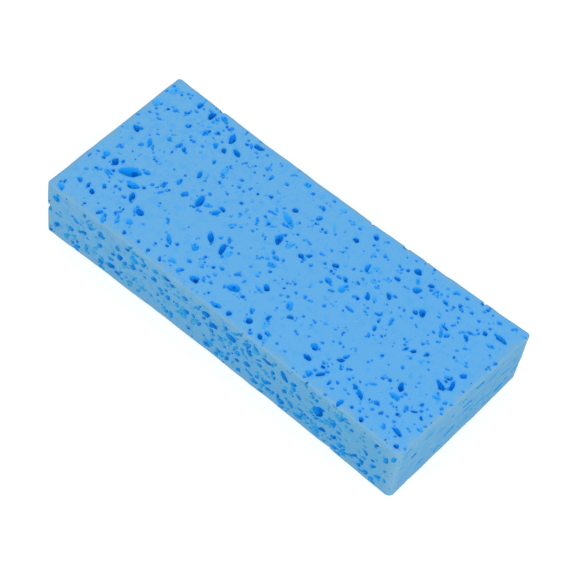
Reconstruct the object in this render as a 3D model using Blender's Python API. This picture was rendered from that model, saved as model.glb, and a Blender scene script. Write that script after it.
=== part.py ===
"""A cellulose bath sponge: one brick, cut from a slab of foamed cellulose.

The knife opens the foam's cells, so each face is pitted with rounded pockets of many sizes. Some are
shallow dishes, some are bowls and a few are deep wells that widen below the skin. The long sides have
drawn in a little in drying, and the brick leans by a millimetre or so from the slant of the cut.
Units are metres. +X runs along the brick, +Y points to its back, +Z is up, and the origin lies on the
resting face, under the middle of the brick.
"""

import math
import random
from typing import NamedTuple

import bmesh
import bpy
from mathutils import Matrix, Vector

# The brick.
LENGTH = 0.180
WIDTH = 0.075
THICKNESS = 0.0312
FOOT_WAIST = 0.0015  # how far the front draws in along its foot, at the middle of its length
TOP_WAIST = 0.0005  # and how far along its top edge
BACK_WAIST = 0.0015  # how far the back draws in at the middle of its length
LEAN_X = 0.0010  # how far the top face lies beyond the resting face, towards +X
LEAN_Y = 0.0005  # and towards +Y
CORNER_FLARE = 0.0016  # how far the near end's back top corner stands out along the brick
CORNER_ROUND = 0.0030  # radius of the upright edges
CORNER_STEPS = 3
EDGE_ROUND = 0.0009  # radius of the other edges
EDGE_STEPS = 2
EDGE_ANGLE = 40  # degrees between two faces, past which the edge between them is softened
SIDE_NORMAL = 0.3  # the most that the upward part of a side's normal can be
SIDE_STEPS = 10  # straight steps that make up each bowed side

# The cells that the knife opens.
CELL_WALL = 0.00035  # the least wall left between two cells
CELL_SLANT = 0.30  # how far a cell's floor shifts sideways, as a share of its depth
CELL_WOBBLE = 0.13  # how far a cell's outline strays from an ellipse, as a share of its radius
FINE_CELLS = 110  # how many of the largest cells are rounder than the rest
FINE_COLUMNS = 8
COLUMNS = 6
SPREAD_LONG = 0.0052  # the longest opening among the cells that chance spreads over a face
SPREAD_SHORT = 0.0018  # and the shortest
SPREAD_POWER = 1.8  # the higher it is, the more of these cells are small
SPREAD_SLIM = 0.50  # the least breadth of such an opening, as a share of its length
SPREAD_ROUND = 0.85  # and the most
SPREAD_KINDS = (3, 5, 3)  # how common dishes, bowls and wells are among them
SPREAD_MARGIN = 0.0035  # how far the middle of such a cell keeps from the face's border
SPREAD_TRIES = 30  # how often chance looks for a free place before it leaves a cell out
SEED = 7
PARTING_TURNS = (0, 25, -25, 50, -50)  # degrees that a plane between two cells may be turned by

# The look.
BLUE = (0.12, 0.42, 0.80)
ROUGHNESS = 0.92


class Kind(NamedTuple):
    """How a cell lies in the skin: its half height as a share of half its breadth, how far its
    middle lies below the skin as a share of its half height, and its rows of faces."""

    half_height: float
    centre_below: float
    rows: int


DISH = Kind(half_height=1.0, centre_below=-0.40, rows=4)
BOWL = Kind(half_height=1.20, centre_below=-0.08, rows=4)
WELL = Kind(half_height=1.45, centre_below=0.35, rows=3)


class Cell(NamedTuple):
    """An opened cell: its place on the sheet, the length and breadth of its opening, the turn of its
    long side from the sheet's first direction in degrees, and its kind."""

    x: float
    y: float
    long: float
    short: float
    turn: float
    kind: Kind


# The open cells that stand out most. Their places are measured on a sheet of this size, from its
# left front corner, and spread in proportion over a face of another size.
TOP_SHEET = (0.180, 0.0765)
TOP_CELLS = (
    # The left third.
    Cell(0.0040, 0.0700, 0.0055, 0.0038, 80, DISH),
    Cell(0.0027, 0.0598, 0.0040, 0.0034, 60, DISH),
    Cell(0.0163, 0.0716, 0.0030, 0.0020, 95, WELL),
    Cell(0.0232, 0.0710, 0.0036, 0.0027, 100, WELL),
    Cell(0.0280, 0.0734, 0.0036, 0.0021, -20, DISH),
    Cell(0.0109, 0.0626, 0.0024, 0.0017, 75, BOWL),
    Cell(0.0200, 0.0604, 0.0025, 0.0022, 40, BOWL),
    Cell(0.0370, 0.0682, 0.0044, 0.0027, -60, BOWL),
    Cell(0.0430, 0.0639, 0.0037, 0.0022, -15, WELL),
    Cell(0.0385, 0.0612, 0.0025, 0.0018, -50, WELL),
    Cell(0.0345, 0.0607, 0.0034, 0.0016, -50, BOWL),
    Cell(0.0311, 0.0662, 0.0020, 0.0017, 0, BOWL),
    Cell(0.0473, 0.0726, 0.0042, 0.0020, 8, WELL),
    Cell(0.0448, 0.0709, 0.0030, 0.0012, -48, BOWL),
    Cell(0.0458, 0.0533, 0.0062, 0.0028, -72, DISH),
    Cell(0.0270, 0.0501, 0.0028, 0.0016, -50, BOWL),
    Cell(0.0063, 0.0445, 0.0034, 0.0023, -32, WELL),
    Cell(0.0150, 0.0430, 0.0045, 0.0017, -55, BOWL),
    Cell(0.0130, 0.0396, 0.0020, 0.0017, 0, BOWL),
    Cell(0.0401, 0.0450, 0.0034, 0.0018, -68, BOWL),
    Cell(0.0425, 0.0470, 0.0046, 0.0012, -62, DISH),
    Cell(0.0369, 0.0367, 0.0032, 0.0018, -70, BOWL),
    Cell(0.0425, 0.0335, 0.0030, 0.0023, 80, BOWL),
    Cell(0.0492, 0.0351, 0.0053, 0.0029, -75, BOWL),
    Cell(0.0524, 0.0356, 0.0028, 0.0020, 20, DISH),
    Cell(0.0573, 0.0353, 0.0034, 0.0021, 60, BOWL),
    Cell(0.0580, 0.0384, 0.0030, 0.0016, -15, WELL),
    Cell(0.0246, 0.0310, 0.0030, 0.0020, 10, BOWL),
    Cell(0.0336, 0.0312, 0.0030, 0.0016, -60, BOWL),
    Cell(0.0199, 0.0266, 0.0078, 0.0048, 32, BOWL),
    Cell(0.0120, 0.0262, 0.0034, 0.0025, -45, WELL),
    Cell(0.0066, 0.0270, 0.0032, 0.0026, -60, DISH),
    Cell(0.0252, 0.0223, 0.0052, 0.0028, 12, BOWL),
    Cell(0.0131, 0.0206, 0.0032, 0.0024, -40, DISH),
    Cell(0.0289, 0.0181, 0.0040, 0.0021, -58, WELL),
    Cell(0.0362, 0.0146, 0.0038, 0.0026, -20, BOWL),
    Cell(0.0160, 0.0089, 0.0026, 0.0020, -20, WELL),
    Cell(0.0128, 0.0103, 0.0026, 0.0013, -68, WELL),
    Cell(0.0087, 0.0100, 0.0029, 0.0017, -40, BOWL),
    Cell(0.0175, 0.0143, 0.0021, 0.0015, -45, BOWL),
    Cell(0.0365, 0.0083, 0.0034, 0.0024, -20, DISH),
    Cell(0.0326, 0.0055, 0.0032, 0.0018, -65, DISH),
    Cell(0.0287, 0.0020, 0.0046, 0.0020, -58, DISH),
    Cell(0.0252, 0.0035, 0.0030, 0.0016, 60, BOWL),
    Cell(0.0054, 0.0023, 0.0044, 0.0021, -28, DISH),
    Cell(0.0533, 0.0129, 0.0050, 0.0018, -40, BOWL),
    # The middle third.
    Cell(0.0610, 0.0646, 0.0028, 0.0014, 88, BOWL),
    Cell(0.0672, 0.0572, 0.0020, 0.0018, 20, BOWL),
    Cell(0.0736, 0.0724, 0.0028, 0.0022, -40, DISH),
    Cell(0.0856, 0.0675, 0.0026, 0.0014, -48, BOWL),
    Cell(0.0878, 0.0624, 0.0028, 0.0015, 66, WELL),
    Cell(0.0783, 0.0589, 0.0024, 0.0021, 20, WELL),
    Cell(0.0797, 0.0530, 0.0066, 0.0026, -20, DISH),
    Cell(0.0806, 0.0502, 0.0032, 0.0013, 4, BOWL),
    Cell(0.0752, 0.0462, 0.0024, 0.0016, -38, BOWL),
    Cell(0.0834, 0.0429, 0.0048, 0.0025, -68, WELL),
    Cell(0.0881, 0.0440, 0.0038, 0.0022, 72, DISH),
    Cell(0.0945, 0.0430, 0.0024, 0.0020, -20, WELL),
    Cell(0.0967, 0.0455, 0.0026, 0.0016, 40, WELL),
    Cell(0.1070, 0.0493, 0.0028, 0.0019, 8, WELL),
    Cell(0.1045, 0.0647, 0.0024, 0.0021, 0, WELL),
    Cell(0.1092, 0.0714, 0.0027, 0.0018, -45, WELL),
    Cell(0.1163, 0.0573, 0.0038, 0.0017, -75, BOWL),
    Cell(0.1115, 0.0458, 0.0026, 0.0013, -5, BOWL),
    Cell(0.1141, 0.0466, 0.0029, 0.0016, -50, BOWL),
    Cell(0.1097, 0.0415, 0.0032, 0.0022, -20, BOWL),
    Cell(0.1161, 0.0420, 0.0034, 0.0028, 80, DISH),
    Cell(0.1135, 0.0387, 0.0026, 0.0013, 12, BOWL),
    Cell(0.0895, 0.0318, 0.0032, 0.0026, 20, DISH),
    Cell(0.0885, 0.0354, 0.0032, 0.0014, -8, BOWL),
    Cell(0.0641, 0.0250, 0.0046, 0.0021, -46, WELL),
    Cell(0.0711, 0.0238, 0.0050, 0.0023, -66, WELL),
    Cell(0.0742, 0.0239, 0.0042, 0.0026, 80, DISH),
    Cell(0.0700, 0.0291, 0.0032, 0.0014, -46, BOWL),
    Cell(0.0953, 0.0221, 0.0032, 0.0020, -25, WELL),
    Cell(0.0940, 0.0196, 0.0042, 0.0013, -10, BOWL),
    Cell(0.1071, 0.0221, 0.0044, 0.0025, -55, DISH),
    Cell(0.1108, 0.0181, 0.0026, 0.0016, 35, WELL),
    Cell(0.1051, 0.0122, 0.0024, 0.0016, 82, WELL),
    Cell(0.0866, 0.0131, 0.0046, 0.0034, 20, BOWL),
    Cell(0.0628, 0.0171, 0.0036, 0.0028, -50, DISH),
    Cell(0.0772, 0.0168, 0.0022, 0.0016, -20, BOWL),
    Cell(0.0832, 0.0190, 0.0024, 0.0018, 50, BOWL),
    Cell(0.0733, 0.0056, 0.0036, 0.0030, 10, BOWL),
    Cell(0.0663, 0.0050, 0.0032, 0.0017, 56, BOWL),
    Cell(0.0612, 0.0063, 0.0034, 0.0022, -12, DISH),
    Cell(0.0876, 0.0024, 0.0036, 0.0020, 15, BOWL),
    Cell(0.0933, 0.0030, 0.0024, 0.0020, 80, WELL),
    Cell(0.1010, 0.0058, 0.0028, 0.0024, -30, WELL),
    Cell(0.1086, 0.0033, 0.0025, 0.0017, -30, WELL),
    Cell(0.0986, 0.0099, 0.0030, 0.0015, -45, BOWL),
    # The right third.
    Cell(0.1312, 0.0698, 0.0032, 0.0024, -12, WELL),
    Cell(0.1390, 0.0680, 0.0023, 0.0018, 24, WELL),
    Cell(0.1340, 0.0663, 0.0040, 0.0018, -55, DISH),
    Cell(0.1364, 0.0626, 0.0034, 0.0028, 25, BOWL),
    Cell(0.1277, 0.0614, 0.0026, 0.0017, -8, WELL),
    Cell(0.1477, 0.0656, 0.0030, 0.0015, -20, BOWL),
    Cell(0.1479, 0.0726, 0.0028, 0.0019, 0, DISH),
    Cell(0.1447, 0.0553, 0.0036, 0.0022, -60, WELL),
    Cell(0.1426, 0.0538, 0.0026, 0.0017, -28, WELL),
    Cell(0.1307, 0.0525, 0.0032, 0.0016, -42, WELL),
    Cell(0.1251, 0.0465, 0.0038, 0.0015, -50, WELL),
    Cell(0.1279, 0.0471, 0.0036, 0.0013, -52, DISH),
    Cell(0.1334, 0.0430, 0.0030, 0.0015, 25, BOWL),
    Cell(0.1390, 0.0437, 0.0038, 0.0014, -72, BOWL),
    Cell(0.1241, 0.0370, 0.0038, 0.0014, -3, BOWL),
    Cell(0.1366, 0.0368, 0.0026, 0.0015, -62, BOWL),
    Cell(0.1370, 0.0328, 0.0024, 0.0012, -52, BOWL),
    Cell(0.1550, 0.0560, 0.0030, 0.0012, -8, WELL),
    Cell(0.1556, 0.0529, 0.0044, 0.0014, -58, BOWL),
    Cell(0.1578, 0.0537, 0.0026, 0.0019, 70, BOWL),
    Cell(0.1635, 0.0581, 0.0026, 0.0016, -30, WELL),
    Cell(0.1609, 0.0591, 0.0032, 0.0011, 40, BOWL),
    Cell(0.1674, 0.0645, 0.0022, 0.0016, -15, WELL),
    Cell(0.1731, 0.0665, 0.0050, 0.0021, -8, WELL),
    Cell(0.1724, 0.0613, 0.0034, 0.0017, 5, DISH),
    Cell(0.1682, 0.0723, 0.0024, 0.0016, 5, BOWL),
    Cell(0.1740, 0.0435, 0.0028, 0.0021, 40, BOWL),
    Cell(0.1582, 0.0415, 0.0021, 0.0016, -80, WELL),
    Cell(0.1537, 0.0391, 0.0021, 0.0015, 62, BOWL),
    Cell(0.1708, 0.0343, 0.0052, 0.0018, -24, WELL),
    Cell(0.1738, 0.0371, 0.0040, 0.0017, -68, WELL),
    Cell(0.1711, 0.0391, 0.0026, 0.0018, 50, BOWL),
    Cell(0.1729, 0.0290, 0.0030, 0.0017, 12, DISH),
    Cell(0.1608, 0.0233, 0.0038, 0.0021, -56, WELL),
    Cell(0.1618, 0.0186, 0.0044, 0.0020, 8, BOWL),
    Cell(0.1376, 0.0193, 0.0026, 0.0018, 80, BOWL),
    Cell(0.1372, 0.0167, 0.0030, 0.0016, 38, WELL),
    Cell(0.1263, 0.0143, 0.0032, 0.0026, -22, BOWL),
    Cell(0.1276, 0.0088, 0.0034, 0.0021, -8, WELL),
    Cell(0.1361, 0.0064, 0.0034, 0.0018, 56, WELL),
    Cell(0.1326, 0.0039, 0.0028, 0.0023, 20, BOWL),
    Cell(0.1523, 0.0099, 0.0046, 0.0016, -36, WELL),
    Cell(0.1488, 0.0115, 0.0027, 0.0016, -20, BOWL),
    Cell(0.1590, 0.0117, 0.0024, 0.0016, 0, BOWL),
    Cell(0.1725, 0.0073, 0.0042, 0.0019, -8, WELL),
    Cell(0.1676, 0.0053, 0.0024, 0.0017, -10, DISH),
    Cell(0.1494, 0.0020, 0.0032, 0.0018, 82, BOWL),
    Cell(0.1598, 0.0020, 0.0022, 0.0017, -30, WELL),
    Cell(0.1763, 0.0024, 0.0022, 0.0017, 0, WELL),
    Cell(0.1713, 0.0183, 0.0026, 0.0011, 26, WELL),
    Cell(0.1525, 0.0171, 0.0032, 0.0013, 30, BOWL),
    # Nicks, where a cell lies across the back edge.
    Cell(0.0245, 0.0762, 0.0034, 0.0026, 0, BOWL),
    Cell(0.1035, 0.0752, 0.0028, 0.0020, -15, BOWL),
    Cell(0.1205, 0.0752, 0.0038, 0.0026, 10, BOWL),
    Cell(0.1584, 0.0758, 0.0032, 0.0028, 30, WELL),
)

FRONT_SHEET = (0.180, 0.0305)
FRONT_CELLS = (
    Cell(0.0054, 0.0245, 0.0040, 0.0026, 40, BOWL),
    Cell(0.0055, 0.0082, 0.0046, 0.0023, 52, BOWL),
    Cell(0.0109, 0.0057, 0.0046, 0.0018, 50, DISH),
    Cell(0.0165, 0.0035, 0.0040, 0.0021, 45, BOWL),
    Cell(0.0134, 0.0123, 0.0032, 0.0019, 42, BOWL),
    Cell(0.0162, 0.0194, 0.0028, 0.0022, 38, BOWL),
    Cell(0.0201, 0.0157, 0.0032, 0.0020, 32, BOWL),
    Cell(0.0204, 0.0272, 0.0026, 0.0016, 62, BOWL),
    Cell(0.0237, 0.0218, 0.0026, 0.0018, 40, BOWL),
    Cell(0.0214, 0.0074, 0.0050, 0.0018, 74, DISH),
    Cell(0.0287, 0.0232, 0.0024, 0.0016, 42, BOWL),
    Cell(0.0292, 0.0052, 0.0028, 0.0023, 80, WELL),
    Cell(0.0348, 0.0079, 0.0046, 0.0024, 30, WELL),
    Cell(0.0347, 0.0122, 0.0032, 0.0016, 30, BOWL),
    Cell(0.0358, 0.0163, 0.0022, 0.0016, 40, BOWL),
    Cell(0.0382, 0.0223, 0.0028, 0.0018, 60, WELL),
    Cell(0.0395, 0.0176, 0.0034, 0.0025, 68, WELL),
    Cell(0.0468, 0.0226, 0.0050, 0.0034, 50, DISH),
    Cell(0.0463, 0.0174, 0.0036, 0.0022, 30, BOWL),
    Cell(0.0522, 0.0246, 0.0036, 0.0015, 55, BOWL),
    Cell(0.0446, 0.0053, 0.0044, 0.0026, 80, DISH),
    Cell(0.0639, 0.0269, 0.0030, 0.0020, 10, WELL),
    Cell(0.0668, 0.0254, 0.0025, 0.0019, 62, WELL),
    Cell(0.0735, 0.0234, 0.0030, 0.0019, 5, BOWL),
    Cell(0.0726, 0.0119, 0.0050, 0.0044, 30, DISH),
    Cell(0.0783, 0.0166, 0.0022, 0.0018, 60, BOWL),
    Cell(0.0815, 0.0142, 0.0032, 0.0013, 65, BOWL),
    Cell(0.0844, 0.0238, 0.0040, 0.0029, 42, WELL),
    Cell(0.0886, 0.0201, 0.0034, 0.0026, 12, WELL),
    Cell(0.0876, 0.0158, 0.0026, 0.0020, 60, BOWL),
    Cell(0.0946, 0.0247, 0.0030, 0.0020, 72, BOWL),
    Cell(0.0977, 0.0213, 0.0050, 0.0037, 20, WELL),
    Cell(0.1033, 0.0193, 0.0022, 0.0016, 60, BOWL),
    Cell(0.1069, 0.0210, 0.0038, 0.0025, -68, WELL),
    Cell(0.1100, 0.0266, 0.0034, 0.0020, -75, WELL),
    Cell(0.1158, 0.0239, 0.0046, 0.0020, 2, WELL),
    Cell(0.1243, 0.0231, 0.0052, 0.0027, -58, WELL),
    Cell(0.1123, 0.0181, 0.0030, 0.0019, 30, BOWL),
    Cell(0.1062, 0.0122, 0.0032, 0.0026, 45, BOWL),
    Cell(0.1012, 0.0098, 0.0025, 0.0018, 52, WELL),
    Cell(0.0919, 0.0062, 0.0026, 0.0018, 60, BOWL),
    Cell(0.0856, 0.0044, 0.0038, 0.0023, 32, BOWL),
    Cell(0.0760, 0.0058, 0.0025, 0.0017, 70, BOWL),
    Cell(0.1082, 0.0078, 0.0030, 0.0018, -20, BOWL),
    Cell(0.0670, 0.0055, 0.0042, 0.0016, 72, BOWL),
    Cell(0.1188, 0.0196, 0.0030, 0.0018, 72, BOWL),
    Cell(0.1322, 0.0175, 0.0027, 0.0018, -50, WELL),
    Cell(0.1294, 0.0197, 0.0034, 0.0018, 60, BOWL),
    Cell(0.1252, 0.0141, 0.0032, 0.0018, 60, BOWL),
    Cell(0.1169, 0.0109, 0.0036, 0.0019, 40, BOWL),
    Cell(0.1174, 0.0066, 0.0027, 0.0020, 42, WELL),
    Cell(0.1289, 0.0085, 0.0035, 0.0022, -68, WELL),
    Cell(0.1240, 0.0052, 0.0038, 0.0028, 40, BOWL),
    Cell(0.1328, 0.0047, 0.0048, 0.0023, 22, BOWL),
    Cell(0.1337, 0.0103, 0.0028, 0.0018, 10, BOWL),
    Cell(0.1421, 0.0181, 0.0066, 0.0044, 66, WELL),
    Cell(0.1448, 0.0087, 0.0038, 0.0019, 36, WELL),
    Cell(0.1502, 0.0094, 0.0026, 0.0020, 50, WELL),
    Cell(0.1537, 0.0075, 0.0032, 0.0019, 32, BOWL),
    Cell(0.1513, 0.0038, 0.0032, 0.0024, 20, BOWL),
    Cell(0.1524, 0.0183, 0.0034, 0.0012, -38, BOWL),
    Cell(0.1658, 0.0163, 0.0028, 0.0017, -60, BOWL),
    Cell(0.1654, 0.0124, 0.0026, 0.0014, 20, BOWL),
    Cell(0.1646, 0.0086, 0.0032, 0.0018, -75, WELL),
    Cell(0.1596, 0.0071, 0.0026, 0.0015, -70, BOWL),
    Cell(0.1727, 0.0073, 0.0032, 0.0021, 50, BOWL),
    Cell(0.1696, 0.0157, 0.0030, 0.0013, 44, BOWL),
    Cell(0.1749, 0.0211, 0.0032, 0.0020, 70, BOWL),
    Cell(0.1778, 0.0251, 0.0036, 0.0018, 76, BOWL),
    # The nick in the left front edge.
    Cell(0.0004, 0.0160, 0.0036, 0.0018, 55, BOWL),
)

# The near end's cells are long, shallow and drawn out along the cut.
END_SHEET = (0.0765, 0.0305)
END_CELLS = (
    Cell(0.0060, 0.0265, 0.0044, 0.0015, 12, DISH),
    Cell(0.0105, 0.0188, 0.0036, 0.0016, -10, BOWL),
    Cell(0.0190, 0.0235, 0.0052, 0.0014, 6, DISH),
    Cell(0.0270, 0.0050, 0.0046, 0.0018, 4, DISH),
    Cell(0.0330, 0.0105, 0.0054, 0.0022, 20, BOWL),
    Cell(0.0410, 0.0205, 0.0050, 0.0014, -6, DISH),
    Cell(0.0470, 0.0272, 0.0046, 0.0022, 0, DISH),
    Cell(0.0560, 0.0240, 0.0060, 0.0017, 8, DISH),
    Cell(0.0640, 0.0065, 0.0052, 0.0020, 10, BOWL),
    Cell(0.0660, 0.0160, 0.0048, 0.0015, -8, DISH),
    Cell(0.0725, 0.0105, 0.0042, 0.0016, 12, DISH),
)


class Face(NamedTuple):
    """One side of the square brick: the corner its sheet starts from, the sheet's two directions and
    lengths, its chosen cells and the sheet they are measured on, the number of cells that chance
    adds, and the turn of their long sides with how far it strays."""

    corner: Vector
    along: Vector
    across: Vector
    size: tuple
    chosen: tuple
    sheet: tuple
    spread: int
    turn: float
    stray: float


def faces():
    """The brick's six sides. Looked at from outside, across is a quarter turn left of along."""
    x, y, z = LENGTH / 2, WIDTH / 2, THICKNESS
    right, back, up = Vector((1, 0, 0)), Vector((0, 1, 0)), Vector((0, 0, 1))
    broad, long_side, end = (LENGTH, WIDTH), (LENGTH, THICKNESS), (WIDTH, THICKNESS)
    return (
        Face(Vector((-x, -y, z)), right, back, broad, TOP_CELLS, TOP_SHEET, 12, 0, 90),
        Face(Vector((-x, -y, 0)), right, up, long_side, FRONT_CELLS, FRONT_SHEET, 6, 50, 25),
        Face(Vector((x, -y, 0)), back, up, end, END_CELLS, END_SHEET, 4, 0, 15),
        Face(Vector((-x, y, 0)), right, -back, broad, (), broad, 80, 0, 90),
        Face(Vector((x, y, 0)), -right, up, long_side, (), long_side, 44, 50, 25),
        Face(Vector((-x, y, 0)), -back, up, end, (), end, 13, 0, 15),
    )


def relaxed(point):
    """Where a point of the square brick lies once its sides have drawn in and the brick leans."""
    x, y, z = point
    height = z / THICKNESS
    front_waist = FOOT_WAIST + (TOP_WAIST - FOOT_WAIST) * height
    waist = BACK_WAIST if y > 0 else front_waist
    drawn_in = waist * (1 - (2 * x / LENGTH) ** 2) / (WIDTH / 2)
    flare = CORNER_FLARE * (x / LENGTH + 0.5) * (y / WIDTH + 0.5) * height
    rise = height - 0.5
    return Vector((x + LEAN_X * rise + flare, y * (1 - drawn_in) + LEAN_Y * rise, z))


def material(name, colour, roughness):
    """A plain material with a colour and a roughness."""
    made = bpy.data.materials.new(name)
    made.use_nodes = True
    shader = made.node_tree.nodes["Principled BSDF"]
    shader.inputs["Base Color"].default_value = (*colour, 1)
    shader.inputs["Roughness"].default_value = roughness
    shader.inputs["Metallic"].default_value = 0
    return made


def new_object(name, shape, collection):
    """An object whose mesh is the shape built in a bmesh."""
    mesh = bpy.data.meshes.new(name)
    shape.to_mesh(mesh)
    shape.free()
    made = bpy.data.objects.new(name, mesh)
    collection.objects.link(made)
    return made


def edges_along(shape, axis, least):
    """The edges of the shape that reach further than the least along one axis."""
    return [e for e in shape.edges if abs(e.verts[0].co[axis] - e.verts[1].co[axis]) > least]


def brick(collection):
    """The uncut brick: a box in steps along its length, bowed and leaned, with soft edges."""
    shape = bmesh.new()
    bmesh.ops.create_cube(shape, size=1)
    full_size = Matrix.Diagonal((LENGTH, WIDTH, THICKNESS, 1))
    stand = Matrix.Translation((0, 0, THICKNESS / 2)) @ full_size
    bmesh.ops.transform(shape, matrix=stand, verts=shape.verts)
    upright = edges_along(shape, 2, THICKNESS / 2)
    bmesh.ops.bevel(
        shape, geom=upright, offset=CORNER_ROUND, segments=CORNER_STEPS, profile=0.5, affect="EDGES"
    )
    lengthwise = edges_along(shape, 0, LENGTH / 2)
    bmesh.ops.subdivide_edges(shape, edges=lengthwise, cuts=SIDE_STEPS - 1, use_grid_fill=True)
    for vertex in shape.verts:
        vertex.co = relaxed(vertex.co)
    shape.normal_update()
    sharp = [e for e in shape.edges if e.calc_face_angle() > math.radians(EDGE_ANGLE)]
    bmesh.ops.bevel(
        shape, geom=sharp, offset=EDGE_ROUND, segments=EDGE_STEPS, profile=0.5, affect="EDGES"
    )
    # The front is twisted between its two waists, so the sides are split into flat faces.
    sides = [face for face in shape.faces if abs(face.normal.z) < SIDE_NORMAL]
    bmesh.ops.triangulate(shape, faces=sides)
    return new_object("sponge", shape, collection)


def breadth_at(height, rows):
    """The radius of a ball of radius 1 at a height, where its side is this many straight rows."""
    corners = [(math.cos(math.pi * i / rows), math.sin(math.pi * i / rows)) for i in range(rows + 1)]
    for (upper, wide), (lower, wider) in zip(corners, corners[1:]):
        if lower <= height <= upper:
            return wide + (wider - wide) * (upper - height) / (upper - lower)
    return 0


def place_on(face, cell, sheet):
    """The middle of the cell's opening, which lies further in where an upright edge is rounded."""
    u = cell.x / sheet[0] * face.size[0]
    v = cell.y / sheet[1] * face.size[1]
    point = face.corner + face.along * u + face.across * v
    past = CORNER_ROUND - min(u, face.size[0] - u)
    if face.across.z > 0 and past > 0:
        inward = face.across.cross(face.along)
        point += inward * (CORNER_ROUND - math.sqrt(CORNER_ROUND**2 - past**2))
    return relaxed(point)


def placed(cell, face, sheet, chance):
    """The matrix that puts a ball of radius 1 where the cell is, in the brick's frame."""
    opening = Matrix.Translation(place_on(face, cell, sheet))
    outward = face.along.cross(face.across)
    axes = Matrix((face.along, face.across, outward)).transposed().to_4x4()
    heading = chance.uniform(0, 2 * math.pi)
    slant = Matrix.Identity(4)
    slant[0][2] = CELL_SLANT * math.cos(heading)
    slant[1][2] = CELL_SLANT * math.sin(heading)
    turn = Matrix.Rotation(math.radians(cell.turn), 4, "Z")
    height = cell.kind.half_height * cell.short / 2
    sink = Matrix.Translation((0, 0, -cell.kind.centre_below * height))
    # The skin cuts the ball off its middle, so the ball grows to keep the opening's size.
    cut = breadth_at(cell.kind.centre_below, cell.kind.rows)
    size = Matrix.Diagonal((cell.long / 2 / cut, cell.short / 2 / cut, height, 1))
    return opening @ axes @ slant @ sink @ turn @ size


def reach(matrix, direction):
    """How far the uneven ball that the matrix places can reach from its middle in a direction."""
    return (matrix.to_3x3().transposed() @ direction).length * (1 + CELL_WOBBLE)


def stand_apart(matrix, other, outward):
    """Whether a plane near square to the line between two cells parts them, with a wall between."""
    apart = other.translation - matrix.translation
    for turn in PARTING_TURNS:
        across = Matrix.Rotation(math.radians(turn), 3, outward) @ apart.normalized()
        if apart.dot(across) > reach(matrix, across) + reach(other, across) + CELL_WALL:
            return True
    return False


def is_clear(matrix, face, others):
    """Whether a cell on the face stands apart from each of the others."""
    outward = face.along.cross(face.across)
    return all(stand_apart(matrix, other, outward) for _, other in others)


def chance_cell(face, chance):
    """A cell of a chance size, kind and place on the face. Small ones are the most common."""
    share = chance.random() ** SPREAD_POWER
    long = SPREAD_SHORT + (SPREAD_LONG - SPREAD_SHORT) * share
    short = long * chance.uniform(SPREAD_SLIM, SPREAD_ROUND)
    u = chance.uniform(SPREAD_MARGIN, face.size[0] - SPREAD_MARGIN)
    v = chance.uniform(SPREAD_MARGIN, face.size[1] - SPREAD_MARGIN)
    turn = face.turn + chance.uniform(-face.stray, face.stray)
    kind = chance.choices((DISH, BOWL, WELL), weights=SPREAD_KINDS)[0]
    return Cell(u, v, long, short, turn, kind)


def opening_area(cell):
    """The measure by which cells are ranked."""
    return cell.long * cell.short


def all_cells():
    """Each cell with the matrix that places it. The larger of two cells that would meet is kept."""
    chance = random.Random(SEED)
    kept = []
    for face in faces():
        for cell in sorted(face.chosen, key=opening_area, reverse=True):
            matrix = placed(cell, face, face.sheet, chance)
            if is_clear(matrix, face, kept):
                kept.append((cell, matrix))
    for face in faces():
        for _ in range(face.spread):
            for _ in range(SPREAD_TRIES):
                cell = chance_cell(face, chance)
                matrix = placed(cell, face, face.size, chance)
                if is_clear(matrix, face, kept):
                    kept.append((cell, matrix))
                    break
    return kept


def add_cell(shape, matrix, columns, rows, chance):
    """A ball with an uneven outline, put where the matrix says. Each of its columns strays by one
    factor from top to bottom, so its side faces stay flat."""
    ball = bmesh.ops.create_uvsphere(shape, u_segments=columns, v_segments=rows, radius=1)
    factors = [1 + chance.uniform(-CELL_WOBBLE, CELL_WOBBLE) for _ in range(columns)]
    for vertex in ball["verts"]:
        share = math.atan2(vertex.co.y, vertex.co.x) / (2 * math.pi)
        factor = factors[round(share * columns) % columns]
        vertex.co.x *= factor
        vertex.co.y *= factor
    bmesh.ops.transform(shape, matrix=matrix, verts=ball["verts"])


def cell_cutter(collection):
    """Every opened cell, as one cutter. The cells stand clear of each other."""
    chance = random.Random(SEED)
    shape = bmesh.new()
    ranked = sorted(all_cells(), key=lambda placed_cell: opening_area(placed_cell[0]), reverse=True)
    for rank, (cell, matrix) in enumerate(ranked):
        columns = FINE_COLUMNS if rank < FINE_CELLS else COLUMNS
        add_cell(shape, matrix, columns, cell.kind.rows, chance)
    made = new_object("opened_cells", shape, collection)
    made.hide_render = True
    made.display_type = "WIRE"
    return made


def main():
    """Builds the sponge in a cleared scene."""
    for old in list(bpy.data.objects):
        bpy.data.objects.remove(old)
    parts = bpy.data.collections.new("bath_sponge")
    cutters = bpy.data.collections.new("cutters")
    for collection in (parts, cutters):
        bpy.context.scene.collection.children.link(collection)
    sponge = brick(parts)
    sponge.data.materials.append(material("blue_cellulose", BLUE, ROUGHNESS))
    cut = sponge.modifiers.new("cut_cells", "BOOLEAN")
    cut.operation = "DIFFERENCE"
    cut.solver = "EXACT"
    cut.object = cell_cutter(cutters)


if __name__ == "__main__":
    main()
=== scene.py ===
"""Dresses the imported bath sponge: a brick of blue cellulose foam with knife-cut faces and open cells.

The foam is one body of gas cells in a blue cellulose film. A knife that passes through it leaves a
flat, dry, pale skin where it met the film and an open pocket wherever it met a cell. The script cuts
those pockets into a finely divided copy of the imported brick, so they are real hollows from any side.
"""

import logging
import math
from dataclasses import dataclass, field
from enum import Enum
from typing import Any, Iterable, Sequence

import bmesh
import bpy
import numpy as np
from mathutils import Matrix, Vector
from mathutils.bvhtree import BVHTree


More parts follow.
